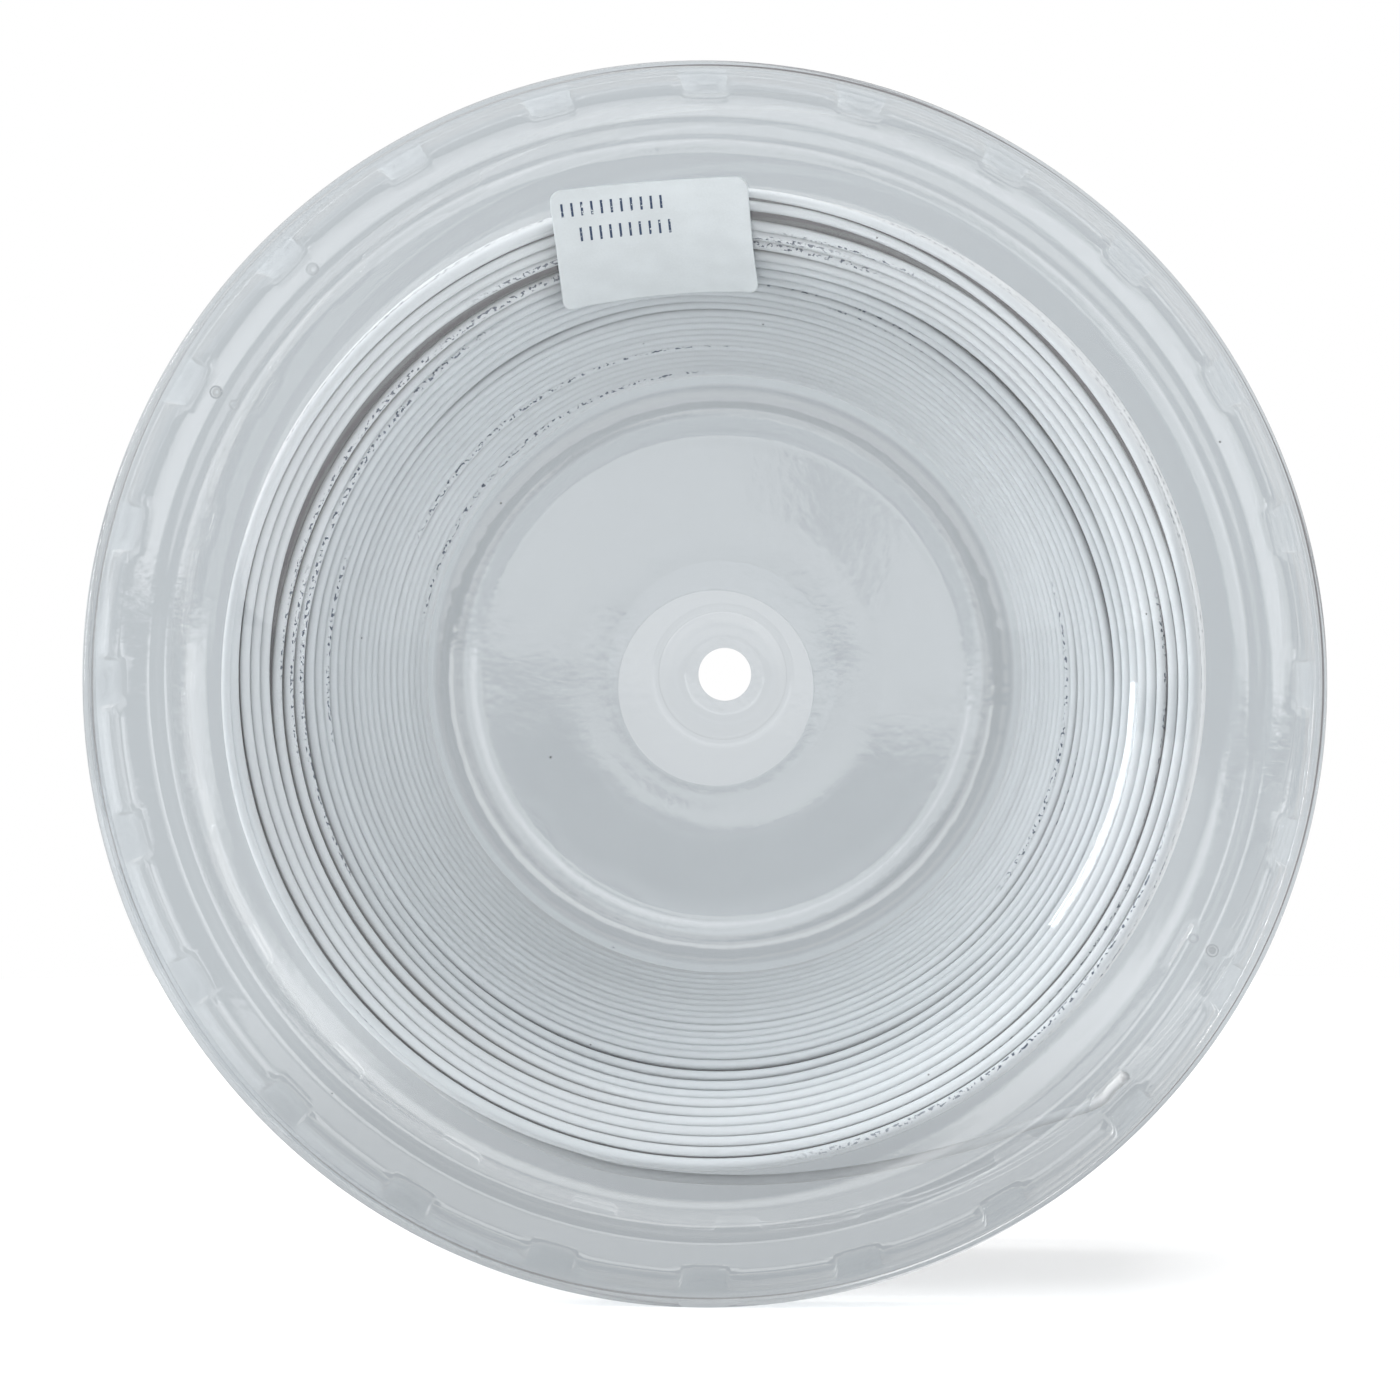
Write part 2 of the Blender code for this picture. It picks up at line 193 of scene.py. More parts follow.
# Every layer of the winding starts and ends at this angle, behind the label. Each has a seed of its own.
SPLICE = math.radians(97)
FRONT_SEED, REAR_SEED, OUTER_SEED = 11, 23, 71

PAPER_THICKNESS = 0.00016
ADHESIVE_INNER_RADIUS = 0.01386
# Bays in the adhesive's outer edge, where it was squeezed unevenly: angle and width in degrees, depth.
ADHESIVE_BAYS = ((219, 5.0, -0.0012), (233, 4.0, 0.0007), (246, 6.0, -0.0007), (143, 9.0, -0.0005))


def place(radius, angle, height, side):
    """Points at a radius and angle about the reel's axis, a height out from the middle plane on one side."""
    radius, angle, height = np.broadcast_arrays(radius, angle, height)
    return np.stack([radius * np.cos(angle), side * height, AXIS_HEIGHT + radius * np.sin(angle)], axis=-1)


def grid_object(name, points, wrap=(False, False), uv=None, inward=False, caps=False):
    """A mesh whose faces join each point of a grid to its neighbours.

    points is rows x columns x 3. wrap joins the last row to the first, and the last column to the first.
    uv has one more row or column than points where it wraps. caps closes the first and last rows.
    """
    rows, columns = points.shape[:2]
    row = np.arange(rows if wrap[0] else rows - 1)[:, None]
    column = np.arange(columns if wrap[1] else columns - 1)[None, :]
    next_row, next_column = (row + 1) % rows, (column + 1) % columns
    quads = np.stack(np.broadcast_arrays(
        row * columns + column, row * columns + next_column,
        next_row * columns + next_column, next_row * columns + column,
    ), axis=-1).reshape(-1, 4)
    corners = np.stack([np.stack(np.broadcast_arrays(row + up, column + along), axis=-1)
                        for up, along in ((0, 0), (0, 1), (1, 1), (1, 0))], axis=2).reshape(-1, 4, 2)
    if inward:
        quads, corners = quads[:, ::-1], corners[:, ::-1]
    loops, sizes = quads.ravel(), np.full(len(quads), 4)
    if caps:
        ends = [np.arange(columns)[::-1], (rows - 1) * columns + np.arange(columns)]
        if inward:
            ends = [end[::-1] for end in ends]
        loops = np.concatenate([loops, *ends])
        sizes = np.concatenate([sizes, [columns, columns]])
    mesh = bpy.data.meshes.new(name)
    mesh.vertices.add(rows * columns)
    mesh.vertices.foreach_set("co", points.astype(np.float32).ravel())
    mesh.loops.add(len(loops))
    mesh.loops.foreach_set("vertex_index", loops.astype(np.int32))
    mesh.polygons.add(len(sizes))
    mesh.polygons.foreach_set("loop_start", (np.cumsum(sizes) - sizes).astype(np.int32))
    mesh.polygons.foreach_set("use_smooth", np.ones(len(sizes), bool))
    mesh.update(calc_edges=True)
    if uv is not None:
        flat = np.zeros((len(loops), 2), np.float32)
        flat[:quads.size] = uv[corners[..., 0], corners[..., 1]].reshape(-1, 2)
        mesh.uv_layers.new(name="UVMap").uv.foreach_set("vector", flat.ravel())
    mesh.validate()
    thing = bpy.data.objects.new(name, mesh)
    bpy.context.scene.collection.objects.link(thing)
    return thing


def unit(vectors):
    """Vectors scaled to length 1 along their last axis."""
    return vectors / np.maximum(np.linalg.norm(vectors, axis=-1, keepdims=True), 1e-12)


def arc_lengths(points):
    """The length along a line of points up to each of them."""
    return np.concatenate([[0.0], np.cumsum(np.linalg.norm(np.diff(points, axis=0), axis=1))])


def at_lengths(points, places, lengths=None):
    """The points at given lengths along a line of points. lengths says how far along each of them is."""
    if lengths is None:
        lengths = arc_lengths(points)
    return np.stack([np.interp(places, lengths, column) for column in points.T], axis=-1)


def outward(points):
    """The direction out from the reel's axis at each point, as long as its distance from the axis."""
    return points * (1.0, 0.0, 1.0) - (0.0, 0.0, AXIS_HEIGHT)


def normals_2d(points):
    """Unit normals of a (radius, height) line: its direction at each point, turned a quarter to the left."""
    along = unit(np.gradient(points, axis=0))
    return np.stack([-along[:, 1], along[:, 0]], axis=-1)


def eased(points, reach, spacing=0.00005):
    """A line of (radius, height) points with its bends rounded.

    The line is cut into even steps, and each point becomes the bell-shaped mean of its neighbours within
    reach. Both ends run on straight while the mean is taken, so they stay in place.
    """
    total = arc_lengths(points)[-1]
    even = at_lengths(points, np.linspace(0.0, total, max(int(total / spacing), 8)))
    half = int(3 * reach / spacing)
    bell = np.exp(-0.5 * (np.arange(-half, half + 1) * spacing / reach) ** 2)
    bell /= bell.sum()
    ahead = np.arange(1, half + 1)[:, None]
    first = even[0] - ahead[::-1] * (even[1] - even[0])
    last = even[-1] + ahead * (even[-1] - even[-2])
    padded = np.concatenate([first, even, last])
    return np.stack([np.convolve(padded[:, axis], bell, mode="valid") for axis in range(2)], axis=-1)


def gathered(points, count, pull):
    """A line thinned to a count of points that gather where it bends.

    The share of points a stretch gets is its length plus pull times the angle that it turns through.
    """
    along = unit(np.diff(points, axis=0))
    bend = np.arccos(np.clip((along[1:] * along[:-1]).sum(axis=1), -1.0, 1.0))
    bend = np.convolve(np.concatenate([[0.0], bend, [0.0]]), np.ones(9) / 9, mode="same")
    steps = np.linalg.norm(np.diff(points, axis=0), axis=1) + pull * bend[:-1]
    weight = np.concatenate([[0.0], np.cumsum(steps)])
    places = np.interp(np.linspace(0.0, weight[-1], count), weight, np.arange(len(points)))
    return at_lengths(points, places, np.arange(len(points)))


def rise(value, low, high):
    """A smooth step from 0 below low to 1 above high: 3t^2 - 2t^3."""
    t = np.clip((value - low) / (high - low), 0.0, 1.0)
    return t * t * (3 - 2 * t)


def wall_line(bowl, count=120):
    """The groove side of a bowl's curved wall, from web to flange, as (radius, height) points.

    Height climbs by 1 - (1 - share)^curve of the way while the radius grows evenly. Its end is straight.
    """
    share = np.linspace(0.0, 1.0, count)
    radius = bowl.web_radius + share * (bowl.flange_radius - bowl.web_radius)
    left = (1 - share) ** bowl.curve
    left = np.where(share > bowl.ease, (1 - bowl.ease) ** bowl.curve * (1 - share) / (1 - bowl.ease), left)
    height = WEB_HEIGHT + (1 - left) * (bowl.flange_height - WEB_HEIGHT)
    return np.stack([radius, height], axis=-1)


def bowl_line(bowl, inner):
    """The groove side of a whole bowl as (radius, height) points, from its inner edge to its cut edge.

    The bends are eased, that round the web the most, and the rim is a half circle between lip and skirt.
    """
    flange = bowl.flange_height + bowl.step_rise
    skirt = RIM_RADIUS - bowl.wall
    roll = (skirt - bowl.lip_radius) / 2
    top = HALF_WIDTH - bowl.wall - roll
    outer = [
        (bowl.step_radius - bowl.step_rise, bowl.flange_height),
        (bowl.step_radius, flange),
        (bowl.bend_radius, flange),
        (bowl.corner_radius, flange + bowl.corner_rise),
        (bowl.lip_radius, top),
    ]
    form = np.concatenate([np.array(inner), wall_line(bowl), np.array(outer)])
    form, soft = eased(form, bowl.rounding), eased(form, bowl.web_rounding)
    from_bend = np.hypot(form[:, 0] - bowl.web_radius, form[:, 1] - WEB_HEIGHT)
    near = np.exp(-(from_bend / WEB_BEND_REACH) ** 4)[:, None]
    form = form + near * (soft - form)
    turn = np.linspace(math.pi, 0.0, 60)[1:]
    rim = np.stack([bowl.lip_radius + roll + roll * np.cos(turn), top + roll * np.sin(turn)], axis=-1)
    down = np.linspace(top, HALF_WIDTH - bowl.skirt, 40)[1:]
    return np.concatenate([form, rim, np.stack([np.full_like(down, skirt), down], axis=-1)])


def bowl_columns(bowl):
    """The angles of a bowl's columns: one pattern for each lug's pitch, close together at the lug's ends."""
    half = bowl.lug_length / 2 / bowl.corner_radius
    pitch = TURN / bowl.lugs
    ends = half + np.array([-0.30, -0.15, -0.05, 0.05, 0.15]) * 0.018
    far = np.linspace(ends[-1], pitch / 2, 6)[1:]
    one_side = np.concatenate([[half * 0.45], ends, far])
    pattern = np.concatenate([-one_side[-2::-1], [0.0], one_side])
    return (np.arange(bowl.lugs)[:, None] * pitch + pattern[None, :]).ravel()


def sheet_relief(bowl, radius, angle, side):
    """How far a formed sheet stands out from its true form, along its bowl side.

    A bell-shaped bead runs round the web, which slopes up a little outside it. The web is warped by a few
    slow waves, with finer wrinkles where it turns into the wall, and the flange and lip waver a little.
    """
    spin = 0.0 if side == FRONT else 1.9
    bead = bowl.bead_height * np.exp(-((radius - bowl.bead_radius) / BEAD_REACH) ** 2)
    outside = rise(radius, bowl.web_radius - 0.0060, bowl.web_radius - 0.0010)
    web = rise(radius, 0.0125, 0.0200) * (1 - outside)
    x, z = radius * np.cos(angle) / 0.035, radius * np.sin(angle) / 0.035
    waves = (0.55 + 0.45 * np.sin(2.6 * x - 1.7 * z + 0.6 + spin) * np.cos(1.9 * z + 1.1 * x + spin)
             + 0.20 * np.sin(4.1 * z + 2.3 * x + 2.0))
    dish = DISH_SLOPE * np.clip(radius - bowl.bead_radius, 0.0, DISH_WIDTH)
    dish = dish * (1 - rise(radius, bowl.web_radius, bowl.web_radius + 0.0030))
    edge = np.exp(-((radius - bowl.web_radius + 0.0002) / 0.0007) ** 2)
    wrinkles = (np.sin(61 * angle + 2 * np.sin(5 * angle)) + 0.8 * np.sin(97 * angle + 1.0)
                + 0.7 * np.sin(23 * angle + 3 * np.sin(3 * angle)))
    flange = rise(radius, bowl.flange_radius - 0.004, bowl.flange_radius + 0.001)
    sway = np.sin(3 * angle + 0.8 + spin) + 0.6 * np.sin(5 * angle + 2.1) + 0.3 * np.sin(11 * angle + 0.4)
    return (bead + dish + bowl.warp * web * waves + WRINKLE_HEIGHT * edge * wrinkles
            + SWAY_HEIGHT * flange * sway)


def lug_press(bowl, line, angle):
    """How far the lugs draw each row of a bowl's line inward, for each of its columns.

    The draw is full at the lip's foot, and fades out evenly up the lip's wall and quickly along the flange.
    It has a smooth step at each end of a lug.
    """
    run = arc_lengths(line)
    foot = run[np.argmin(np.abs(line - (bowl.corner_radius, bowl.flange_height)).sum(axis=1))]
    half_pitch = math.pi / bowl.lugs
    along = np.abs((angle + half_pitch) % (2 * half_pitch) - half_pitch) * bowl.corner_radius
    ends = 1 - rise(along, bowl.lug_length / 2 - 0.0006, bowl.lug_length / 2 + 0.0003)
    up = 1 - np.clip((run - foot) / LUG_FADE_UP, 0.0, 1.0)
    draw = rise(run, foot - LUG_FADE_IN, foot - 0.0002) * up
    return bowl.lug_depth * draw[:, None] * ends


def out_of_round(bowl, line, angle, side):
    """How far each row of a bowl's line is out of round: a wave with two crests round the reel.

    It starts at the flange, is small at the rim and is largest at the skirt's cut edge.
    """
    run = arc_lengths(line)
    rim = run[np.argmax(line[:, 1])]
    share = rise(line[:, 0], bowl.flange_radius - 0.006, bowl.flange_radius)
    share = share * (1 - 0.8 * rise(run, rim - 0.008, rim))
    share = np.where(run > rim, 0.2 + 1.1 * rise(run, rim, run[-1]), share)
    return bowl.oval * share[:, None] * np.cos(2 * (angle - side * math.radians(-130)))


def add_bowl_sheet(name, bowl, inner, side, offset=(0.0, 0.0)):
    """A thin formed bowl: its profile turned about the axis, on the groove side and a wall further on.

    Both faces carry the relief and the lugs, and short rows close the rim and the inner edge. offset moves
    the inner edge off centre, and fades out over the web.
    """
    line = gathered(bowl_line(bowl, inner), 90, 0.0008)
    close = CUT_EDGE_ROW * unit(np.stack([line[1] - line[0], line[-2] - line[-1]]))
    line = np.concatenate([line[:1], line[:1] + close[:1], line[1:-1], line[-1:] + close[1:], line[-1:]])
    normal = normals_2d(line)
    count = len(line)
    shares = np.array([0.0] * count + [0.3, 0.7] + [1.0] * count + [0.7, 0.3])
    order = np.array([*range(count), count - 1, count - 1, *reversed(range(count)), 0, 0])
    bulge = np.zeros(len(order))
    bulge[count:count + 2], bulge[-2:] = CUT_EDGE_BULGE, -CUT_EDGE_BULGE
    along = unit(np.gradient(line, axis=0))[order]
    angle = bowl_columns(bowl)[None, :]
    base = line[order]
    lift = sheet_relief(bowl, base[:, :1], angle, side) + (shares * bowl.wall)[:, None]
    radius, height = (
        base[:, [axis]] + normal[order][:, [axis]] * lift + (along[:, axis] * bulge)[:, None]
        for axis in range(2)
    )
    radius = radius + (out_of_round(bowl, line, angle, side) - lug_press(bowl, line, angle))[order]
    points = place(radius, np.broadcast_to(angle, radius.shape), height, side)
    fade = 1 - rise(base[:, 0], inner[0][0], inner[0][0] + 0.006)
    points[..., 0] += fade[:, None] * offset[0]
    points[..., 2] += fade[:, None] * offset[1]
    return grid_object(name, points, wrap=(True, True), inward=side == REAR)


def cut_slits(thing, bowl, slits):
    """Cut wedge-shaped slits through a bowl's flange, each wide at its upper end and narrow at its tip."""
    for radius, angle, width, long, taper, tip in slits:
        cutter = bpy.data.meshes.new("slit")
        bm = bmesh.new()
        outline = [(tip / 2, -long / 2), (width / 2, taper - long / 2), (width / 2, long / 2)]
        outline += [(-across, along) for across, along in reversed(outline)]
        outwards = Vector((math.cos(angle), 0.0, math.sin(angle)))
        onwards = Vector((-math.sin(angle), 0.0, math.cos(angle)))
        centre = Vector((0.0, -bowl.flange_height, AXIS_HEIGHT)) + radius * outwards
        ring = [centre + across * outwards + along * onwards for across, along in outline]
        back = Vector((0.0, SLIT_CUT_DEPTH / 2, 0.0))
        face = bm.faces.new([bm.verts.new(point + back) for point in ring])
        raised = bmesh.ops.extrude_face_region(bm, geom=[face])
        moved = [item for item in raised["geom"] if isinstance(item, bmesh.types.BMVert)]
        bmesh.ops.translate(bm, verts=moved, vec=(0.0, -SLIT_CUT_DEPTH, 0.0))
        bmesh.ops.recalc_face_normals(bm, faces=bm.faces)
        bm.to_mesh(cutter)
        bm.free()
        tool = bpy.data.objects.new("slit", cutter)
        bpy.context.scene.collection.objects.link(tool)
        cut = thing.modifiers.new("slit", "BOOLEAN")
        cut.operation = "DIFFERENCE"
        cut.solver = "EXACT"
        cut.object = tool
        result = thing.evaluated_get(bpy.context.evaluated_depsgraph_get())
        finished = bpy.data.meshes.new_from_object(result)
        thing.modifiers.clear()
        thing.data = finished
        bpy.data.objects.remove(tool)


def add_tube(name, path, out, radius, sides=8, twist=0.0):
    """A round tube along a path. out says which way its first side faces.

    Each ring is radius * (cos t * out + sin t * across) about its point of the path. The UV map runs along
    the tube in units of its own width, and once round it.
    """
    along = unit(np.gradient(path, axis=0))
    out = unit(out - (out * along).sum(axis=-1, keepdims=True) * along)
    across = np.cross(along, out)
    t = np.linspace(0.0, TURN, sides, endpoint=False)[None, :, None]
    points = path[:, None] + radius * (np.cos(t) * out[:, None] + np.sin(t) * across[:, None])
    run = arc_lengths(path) / (2 * radius)
    around = np.linspace(0.0, 1.0, sides + 1)[None, :] + twist * run[:, None]
    uv = np.stack(np.broadcast_arrays(run[:, None], around), axis=-1)
    return grid_object(name, points, wrap=(False, True), uv=uv, caps=True)


def turn_stack(count, steps, free, seed, loose_from=0.0):
    """Where each turn of a winding lies across it, all the way round, as turns x steps in string widths.

    The free width is shared out among the turns by smooth weights that change round the reel, so that most
    turns touch and a few stand apart. Each weight is the exponential of two slow waves, larger where the
    winding is loose.
    """
    rng = np.random.default_rng(seed)
    angle = np.linspace(0.0, TURN, steps, endpoint=False)[None, :]
    phase, second = rng.uniform(0.0, TURN, (2, count, 1))
    waves = rng.integers(1, 3, (count, 1))
    weight = np.exp(1.9 * np.sin(waves * angle + phase) + 0.9 * np.sin((waves + 1) * angle + second))
    share = np.linspace(0.0, 1.0, count)[:, None]
    weight *= 0.06 + np.clip(share - loose_from, 0.0, 1.0) ** 1.5 * rng.uniform(0.2, 1.8, (count, 1))
    gaps = free * np.cumsum(weight, axis=0) / weight.sum(axis=0, keepdims=True)
    return np.arange(count)[:, None] + gaps


def spiral_places(stack):
    """The place across a winding of one string that runs on from each turn to the next, and its angle.

    Going round once, it moves over evenly from its own turn's place to that of the next.
    """
    count, steps = stack.shape
    share = np.linspace(0.0, 1.0, steps, endpoint=False)[None, :]
    places = (1 - share) * stack[:-1] + share * stack[1:]
    angle = TURN * (np.arange(count - 1)[:, None] + share)
    return places.ravel(), angle.ravel()


def slow_waves(angle, seed):
    """A smooth line between about -1 and 1: a few sine waves that never quite repeat from turn to turn."""
    count = 5
    rng = np.random.default_rng(seed)
    rate = np.linspace(0.13, 1.9, count) * rng.uniform(0.93, 1.07, count)
    phase = rng.uniform(0.0, TURN, count)
    return np.sin(rate[:, None] * angle[None, :] + phase[:, None]).sum(axis=0) / math.sqrt(count)


def flank_line(bowl, cord, inside):
    """A line a distance inside the groove from the curved wall, from the web to the coil's edge."""
    wall = wall_line(bowl, 400)
    line = wall - normals_2d(wall) * inside
    outer = cord.coil_radius - cord.diameter * 0.2
    return line[(line[:, 1] > cord.diameter * 0.54) & (line[:, 0] < outer)]


def add_flank_turns(name, bowl, cord, side, seed):
    """The turns of string against one bowl's wall, as one spiral tube from the web to the coil's edge.

    Across the winding it follows the wall at half a string's width, and now and then sinks a little deeper.
    """
    line = flank_line(bowl, cord, cord.clearance + cord.diameter / 2)
    room = arc_lengths(line)[-1] / cord.diameter
    count = int(room * (1 - cord.looseness))
    places, angle = spiral_places(turn_stack(count + 1, cord.steps, room - count, seed))
    lengths = arc_lengths(line)
    where = places * cord.diameter
    share = places / room
    deep = 0.00028 * share * np.clip(slow_waves(angle, seed + 1), 0.0, 1.0)
    ends = np.minimum(angle - angle[0], angle[-1] - angle)
    deep = deep + cord.diameter * 0.9 * (1 - rise(ends, 0.0, 0.5))
    sunk = at_lengths(line, where, lengths) - at_lengths(normals_2d(line), where, lengths) * deep[:, None]
    height = np.maximum(sunk[:, 1], cord.diameter * 0.51)
    path = place(sunk[:, 0], angle + SPLICE, height, side)
    return add_tube(name, path, -outward(path), cord.diameter / 2 * FLANK_TURN, twist=0.004)


def coil_top(cord, height):
    """The radius of the winding's crowned outside: lower than its middle by the square of the way out."""
    return COIL_TOP - cord.crown * (height / COIL_HALF_WIDTH) ** 2


def add_outer_turns(cord):
    """The last layer of string, wound across the groove from one wall to the other as one tube.

    It sits on the crowned outside of the coil, and now and then sinks a little into the layer below.
    """
    room = (2 * COIL_HALF_WIDTH - cord.diameter) / cord.diameter
    count = int(room * (1 - cord.looseness))
    stack = turn_stack(count + 1, cord.steps, room - count, OUTER_SEED, loose_from=-0.6)
    places, angle = spiral_places(stack)
    height = places * cord.diameter + cord.diameter / 2 - COIL_HALF_WIDTH
    deep = 0.0004 * np.clip(slow_waves(angle, OUTER_SEED + 1), 0.0, 1.0)
    path = place(coil_top(cord, height) - cord.diameter / 2 - deep, angle + SPLICE, height, REAR)
    return add_tube("outer_turns", path, outward(path), cord.diameter / 2)


def add_string_core(bowl, cord):
    """The string below the turns that show, coloured as their painted shade: a ring turned from a line a
    little inside them all.

    The UV map runs round the reel and across the ring, both in string widths.
    """
    side = flank_line(bowl, cord, cord.clearance + cord.diameter * CORE_DEPTH)
    edge = side[-1]
    across = np.linspace(edge[1], -edge[1], 40)[1:-1]
    top = np.stack([coil_top(cord, across) - cord.diameter * CORE_DEPTH, across], axis=-1)
    start = np.array([[side[0, 0], 0.0]])
    line = np.concatenate([start, side[::8], [edge], top, [edge * (1, -1)], side[::-8] * (1, -1)])
    angle = np.linspace(0.0, TURN, 240, endpoint=False)
    points = place(line[:, :1], angle[None, :], line[:, 1:], FRONT)
    run = np.concatenate([arc_lengths(line), [0.0]]) / cord.diameter
    run[-1] = run[-2]
    round_reel = np.linspace(0.0, TURN * COIL_TOP / cord.diameter, 241)
    uv = np.stack(np.broadcast_arrays(round_reel[None, :], run[:, None]), axis=-1)
    return grid_object("string_core", points, wrap=(True, True), uv=uv)


def through(route, spacing):
    """Points an even spacing apart on a smooth curve through a route.

    Between two points of the route the curve is a cubic whose slope at each is half the step between its
    neighbours.
    """
    route = np.asarray(route)
    ends = np.concatenate([[2 * route[0] - route[1]], route, [2 * route[-1] - route[-2]]])
    t = np.linspace(0.0, 1.0, 24, endpoint=False)[None, :, None]
    a, b, c, d = (ends[index:len(ends) - 3 + index, None] for index in range(4))
    square, cube = 2 * a - 5 * b + 4 * c - d, 3 * b - a - 3 * c + d
    fine = 0.5 * (2 * b + (c - a) * t + square * t ** 2 + cube * t ** 3)
    fine = np.concatenate([fine.reshape(-1, 3), route[-1:]])
    total = arc_lengths(fine)[-1]
    return at_lengths(fine, np.linspace(0.0, total, int(total / spacing)))


# The string's end, from the coil to its slit: angle, distance out from the coil, height along the axis.
TAIL_LAY = (
    (-150.0, -0.00140, 0.0178), (-134.0, -0.00100, 0.0188), (-119.0, -0.00030, 0.0197),
    (-106.0, 0.0000, 0.0205), (-96.0, 0.0001, 0.0212), (-84.0, 0.0005, 0.0222),
    (-72.0, 0.0017, 0.0233), (-61.0, 0.0038, 0.0246), (-53.0, 0.0060, 0.0262),
)
# Its way on through the slit: distance ahead of the slit's middle, height above the flange's.
TAIL_CROSSING = ((-0.0022, -0.0012), (0.0009, 0.0003), (0.0029, 0.0019))
TAIL_SLIT = {"radius": 0.0668, "angle": math.radians(-45.4)}
SPARE_SLIT = {"radius": 0.0631, "angle": math.radians(-28.8)}
SLIT_LENGTH = 0.0058


def add_string_end(bowl, cord):
    """The end of the string: off the coil, out across the groove and through its slit in the flange."""
    angle, out, height = np.array(TAIL_LAY).T
    radius = coil_top(cord, height) + cord.clearance + cord.diameter / 2 + out
    first = place(radius, np.radians(angle), height, FRONT)
    ahead, lift = np.array(TAIL_CROSSING).T
    flange = bowl.flange_height + bowl.step_rise + bowl.wall / 2
    turned = TAIL_SLIT["angle"] + ahead / TAIL_SLIT["radius"]
    last = place(TAIL_SLIT["radius"], turned, flange + lift, FRONT)
    path = through(np.concatenate([first, last]), 0.0008)
    return add_tube("string_end", path, outward(path), cord.diameter / 2, sides=14)


def add_adhesive_film():
    """The film of adhesive between the webs: a flat ring with a round outer edge that wanders in and out.

    Its outer radius is a circle with a few waves, and with a few bell-shaped bays.
    """
    half = span("web_adhesive", 1) / 2
    inner = ADHESIVE_INNER_RADIUS
    angle = np.linspace(0.0, TURN, 360, endpoint=False)[None, :]
    waver = sum(high * np.sin(times * angle + start) for high, times, start in (
        (0.00022, 3, 0.5), (0.00016, 7, 1.0), (0.00009, 17, 2.0), (0.00005, 41, 0.0), (0.00003, 83, 1.0),
    ))
    bays = sum(
        deep * np.exp(-((angle - math.radians(centre)) / math.radians(wide)) ** 2)
        for centre, wide, deep in ADHESIVE_BAYS
    )
    edge = ADHESIVE_RADIUS - 0.0002 + waver + bays
    share = np.array([0.0, 0.4, 0.8, 0.97, 1.0, 1.0, 0.97, 0.8, 0.4, 0.0])[:, None]
    level = np.array([-1.0, -1.0, -1.0, -1.0, -0.4, 0.4, 1.0, 1.0, 1.0, 1.0])[:, None] * half
    radius = inner + share * (edge - inner)
    points = place(radius, angle, np.broadcast_to(level, radius.shape), REAR)
    return grid_object("adhesive_film", points, wrap=(True, True))


def add_paper_label(bowl, cord, label):
    """The price label: a rounded sheet of paper bent to the cone that touches the wall at its centre.

    A point of the sheet keeps its distance and direction from the cone's tip. Above a crease the paper lifts
    away evenly, and its corners curl up by the product of how close they lie to both of their edges.
    """
    wall = wall_line(bowl, 400)
    inside = wall + normals_2d(wall) * (bowl.wall + cord.clearance)
    lengths = arc_lengths(inside)
    middle = np.interp(label.radius, inside[:, 0], lengths)
    step = 0.001
    near = np.interp(middle + np.array([-step, step]), lengths, inside[:, 0])
    slope = (near[1] - near[0]) / (2 * step)
    cone = label.radius / slope
    s, t = np.meshgrid(np.linspace(-1.0, 1.0, 71), np.linspace(-1.0, 1.0, 51))
    s, t = np.sin(s * math.pi / 2) * 0.35 + s * 0.65, np.sin(t * math.pi / 2) * 0.35 + t * 0.65
    across, up = s * label.width / 2, t * label.height / 2
    beyond_x = np.maximum(np.abs(across) - label.width / 2 + label.corner, 0.0)
    beyond_y = np.maximum(np.abs(up) - label.height / 2 + label.corner, 0.0)
    squeeze = np.maximum(beyond_x, beyond_y) / np.maximum(np.hypot(beyond_x, beyond_y), 1e-9)
    round_x = np.where(beyond_y > 0, beyond_x * squeeze, beyond_x)
    round_y = np.where(beyond_x > 0, beyond_y * squeeze, beyond_y)
    across = np.sign(across) * (np.abs(across) - beyond_x + round_x)
    up = np.sign(up) * (np.abs(up) - beyond_y + round_y)
    crease = up - label.height * 0.27 + across * 0.02
    lift = 0.11 * np.maximum(crease, 0.0) + 0.00006 * np.exp(-(crease / 0.0004) ** 2)
    curl = np.maximum(np.abs(s) - 0.80, 0.0) * np.maximum(np.abs(t) - 0.72, 0.0)
    lift = lift + 0.006 * curl + 0.00003 * np.sin(900 * across + 1) * np.sin(700 * up)
    tilted = across * math.cos(label.turn) - up * math.sin(label.turn)
    upward = across * math.sin(label.turn) + up * math.cos(label.turn)
    slant = np.hypot(cone + upward, tilted)
    swing = np.arctan2(tilted, cone + upward) / slope
    where = middle + slant - cone
    leaning = at_lengths(normals_2d(inside), where, lengths)
    raised = at_lengths(inside, where, lengths) + leaning * lift[..., None]
    points = place(raised[..., 0], label.angle - swing, raised[..., 1], FRONT)
    uv = np.stack([across / label.width + 0.5, up / label.height + 0.5], axis=-1)
    thing = grid_object("paper_label", points, uv=uv, inward=True)
    paper = thing.modifiers.new("paper", "SOLIDIFY")
    paper.thickness = PAPER_THICKNESS
    paper.offset = -1.0
    return thing


# Materials


